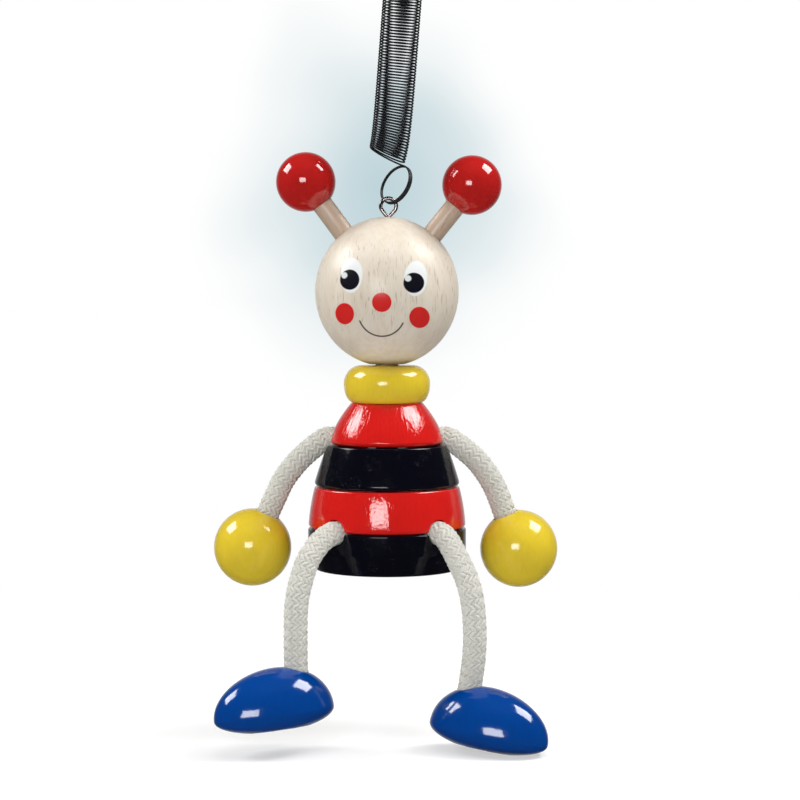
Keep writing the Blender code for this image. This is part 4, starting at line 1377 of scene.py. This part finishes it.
class SPRINGTOY_OT_stage(Operator):
    """Sets up the floor, the backdrop, the lamps and the camera"""

    bl_idname = "spring_toy.stage"
    bl_label = "Stage"

    def execute(self, context):
        stage = chosen("stage")
        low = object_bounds()[0]
        self.sweep(low.z - stage.floor_gap, stage)
        self.world(stage)
        for name, lamp in LAMPS.items():
            self.lamp(name, *lamp)
        self.camera(context, stage)
        context.scene.view_settings.view_transform = "Standard"
        return {"FINISHED"}

    def sweep(self, floor, stage):
        """A floor that curves up into a backdrop, as one sheet."""
        front, bend_start, bend, tall, half_width = -0.35, 0.55, 0.4, 1.8, 1.6
        outline = [Vector((0.0, front, floor)), Vector((0.0, bend_start, floor))]
        steps = 12
        for i in range(1, steps + 1):
            angle = math.pi / 2.0 * i / steps
            back, up = bend * math.sin(angle), bend * (1.0 - math.cos(angle))
            outline.append(Vector((0.0, bend_start + back, floor + up)))
        outline.append(Vector((0.0, bend_start + bend, floor + tall)))
        bm = bmesh.new()
        corners = [bm.verts.new(p - half_width * X_AXIS) for p in outline]
        runs = [bm.edges.new(pair) for pair in zip(corners, corners[1:])]
        drawn = bmesh.ops.extrude_edge_only(bm, edges=runs)
        moved = [v for v in drawn["geom"] if isinstance(v, bmesh.types.BMVert)]
        bmesh.ops.translate(bm, verts=moved, vec=2.0 * half_width * X_AXIS)
        made = finished("floor_and_backdrop", bm, self.paper(floor, stage))
        made.visible_glossy = False
        made.visible_shadow = False
        made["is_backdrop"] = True

    def paper(self, floor, stage):
        """White paper that keeps the toy's shadow near it and is plain white further off, save for a painted
        pale blue shade behind the head and the spring.

        In front of the toy nothing shows but white, so it is clear there: a toy pulled down past the
        floor on its spring still shows whole.
        """
        made = Shader("white_paper")
        at = made.place((SEAT.x, SEAT.y, floor))
        far = made.vector("LENGTH", at)
        plain = made.mixed(made.noise(at, 0.8, 2.0), (0.56, 0.56, 0.56, 1.0), (0.58, 0.58, 0.58, 1.0))
        path = made.add("ShaderNodeLightPath").outputs
        seen = made.seen(path)
        further = made.ramp(far, 60.0, 300.0)
        lit = made.mixed(made.times(further, seen), plain, BLACK)
        made.set(Base_Color=lit, Roughness=0.9, Specular_IOR_Level=0.0)
        made.set(Emission_Strength=made.times(made.scaled(further, 0.5, 0.5), seen))
        clear = made.times(made.ramp(made.parts(at)["Y"], -60.0, -160.0), path["Is Camera Ray"])
        made.set(Alpha=made.maths("SUBTRACT", 1.0, clear))
        # Painted shade: a pale blue-grey patch in the backdrop's glow behind the head and the spring.
        off = made.place(stage.backdrop_shade_middle)
        off = made.vector("LENGTH", made.vector("MULTIPLY", off, (1.0, 0.0, 0.75)))
        drift = made.scaled(made.noise(at, 0.01, 1.0), -60.0, off)
        backdrop_shade = made.times(made.ramp(drift, 90.0, -30.0), stage.backdrop_shade)
        made.set(Emission_Color=made.mixed(backdrop_shade, WHITE, rgba(stage.backdrop_shade_colour)))
        return made.material

    def world(self, stage):
        """A dim even room, with white behind the toy for whatever shows the background."""
        world = bpy.data.worlds.new("studio")
        bpy.context.scene.world = world
        world.use_nodes = True
        made = Nodes(world.node_tree)
        path = made.add("ShaderNodeLightPath").outputs
        way = made.parts(made.add("ShaderNodeTexCoord").outputs["Generated"])
        behind = made.maths("POWER", made.maths("MAXIMUM", way["Y"], 0.0), 5.0)
        mirrored = made.times(path["Is Glossy Ray"], behind)
        shown = made.maths("MAXIMUM", made.seen(path), made.times(mirrored, 0.7))
        dim = made.maths("SUBTRACT", stage.room, made.times(path["Is Glossy Ray"], 0.6 * stage.room))
        back = world.node_tree.nodes["Background"].inputs
        made.feed(back["Strength"], made.maths("MAXIMUM", dim, shown))
        made.feed(back["Color"], WHITE)

    def lamp(self, name, way, distance, sheet, power):
        light = bpy.data.lights.new(name, "AREA")
        light.shape = "RECTANGLE"
        light.size, light.size_y = sheet
        light.energy = power
        made = bpy.data.objects.new(name, light)
        bpy.context.scene.collection.objects.link(made)
        way = Vector(way).normalized()
        made.location = on_axis(LAMPS_AIM) + distance * way
        made.rotation_euler = way.to_track_quat("Z", "Y").to_euler()
        made.visible_glossy = "fill" not in name

    def camera(self, context, stage):
        data = bpy.data.cameras.new("camera")
        data.sensor_width = 36.0
        data.lens = data.sensor_width / 2.0 / math.tan(stage.camera_view / 2.0)
        data.clip_start, data.clip_end = 0.01, 10.0
        made = bpy.data.objects.new("camera", data)
        context.scene.collection.objects.link(made)
        made.location = (stage.camera_side, -stage.camera_back, stage.camera_height)
        made.rotation_euler = (math.pi / 2.0 - stage.camera_pitch, 0.0, 0.0)
        context.scene.camera = made


MAKERS = (
    SPRINGTOY_OT_stage,
    SPRINGTOY_OT_cords,
    SPRINGTOY_OT_rings,
    SPRINGTOY_OT_collar,
    SPRINGTOY_OT_head,
    SPRINGTOY_OT_antennae,
    SPRINGTOY_OT_screw_eye,
    SPRINGTOY_OT_spring,
    SPRINGTOY_OT_hands,
    SPRINGTOY_OT_feet,
    SPRINGTOY_OT_dowel,
)
GROUPS = {
    "spring_toy_body": SpringToyBody,
    "spring_toy_head": SpringToyHead,
    "spring_toy_face": SpringToyFace,
    "spring_toy_limbs": SpringToyLimbs,
    "spring_toy_spring": SpringToySpring,
    "spring_toy_colours": SpringToyColours,
    "spring_toy_stage": SpringToyStage,
}


class SPRINGTOY_PT_panel(Panel):
    """Lists the makers and the sizes of the spring toy"""

    bl_idname = "SPRINGTOY_PT_panel"
    bl_label = "Spring toy"
    bl_space_type = "VIEW_3D"
    bl_region_type = "UI"
    bl_category = "Spring toy"

    def draw(self, context):
        layout = self.layout
        for maker in MAKERS:
            layout.operator(maker.bl_idname)
        for name, group in GROUPS.items():
            box = layout.box()
            box.label(text=group.__doc__.strip("."))
            for setting in group.__annotations__:
                box.prop(getattr(context.scene, name), setting)


def register():
    for kind in (*GROUPS.values(), *MAKERS, SPRINGTOY_PT_panel):
        bpy.utils.register_class(kind)
    for name, group in GROUPS.items():
        setattr(bpy.types.Scene, name, PointerProperty(type=group))


def unregister():
    for name in GROUPS:
        delattr(bpy.types.Scene, name)
    for kind in (SPRINGTOY_PT_panel, *reversed(MAKERS), *reversed(GROUPS.values())):
        bpy.utils.unregister_class(kind)


def clear_start_scene():
    """Takes away what Blender's own start file brought, and nothing of the frame."""
    kept = set(frame["bodies"].values()) | set(frame["nodes"].values())
    for thing in list(bpy.data.objects):
        if thing not in kept:
            bpy.data.objects.remove(thing)


def main():
    clear_start_scene()
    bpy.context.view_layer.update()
    register()
    for maker in MAKERS:
        group, action = maker.bl_idname.split(".")
        getattr(getattr(bpy.ops, group), action)()


if __name__ == "__main__":
    main()
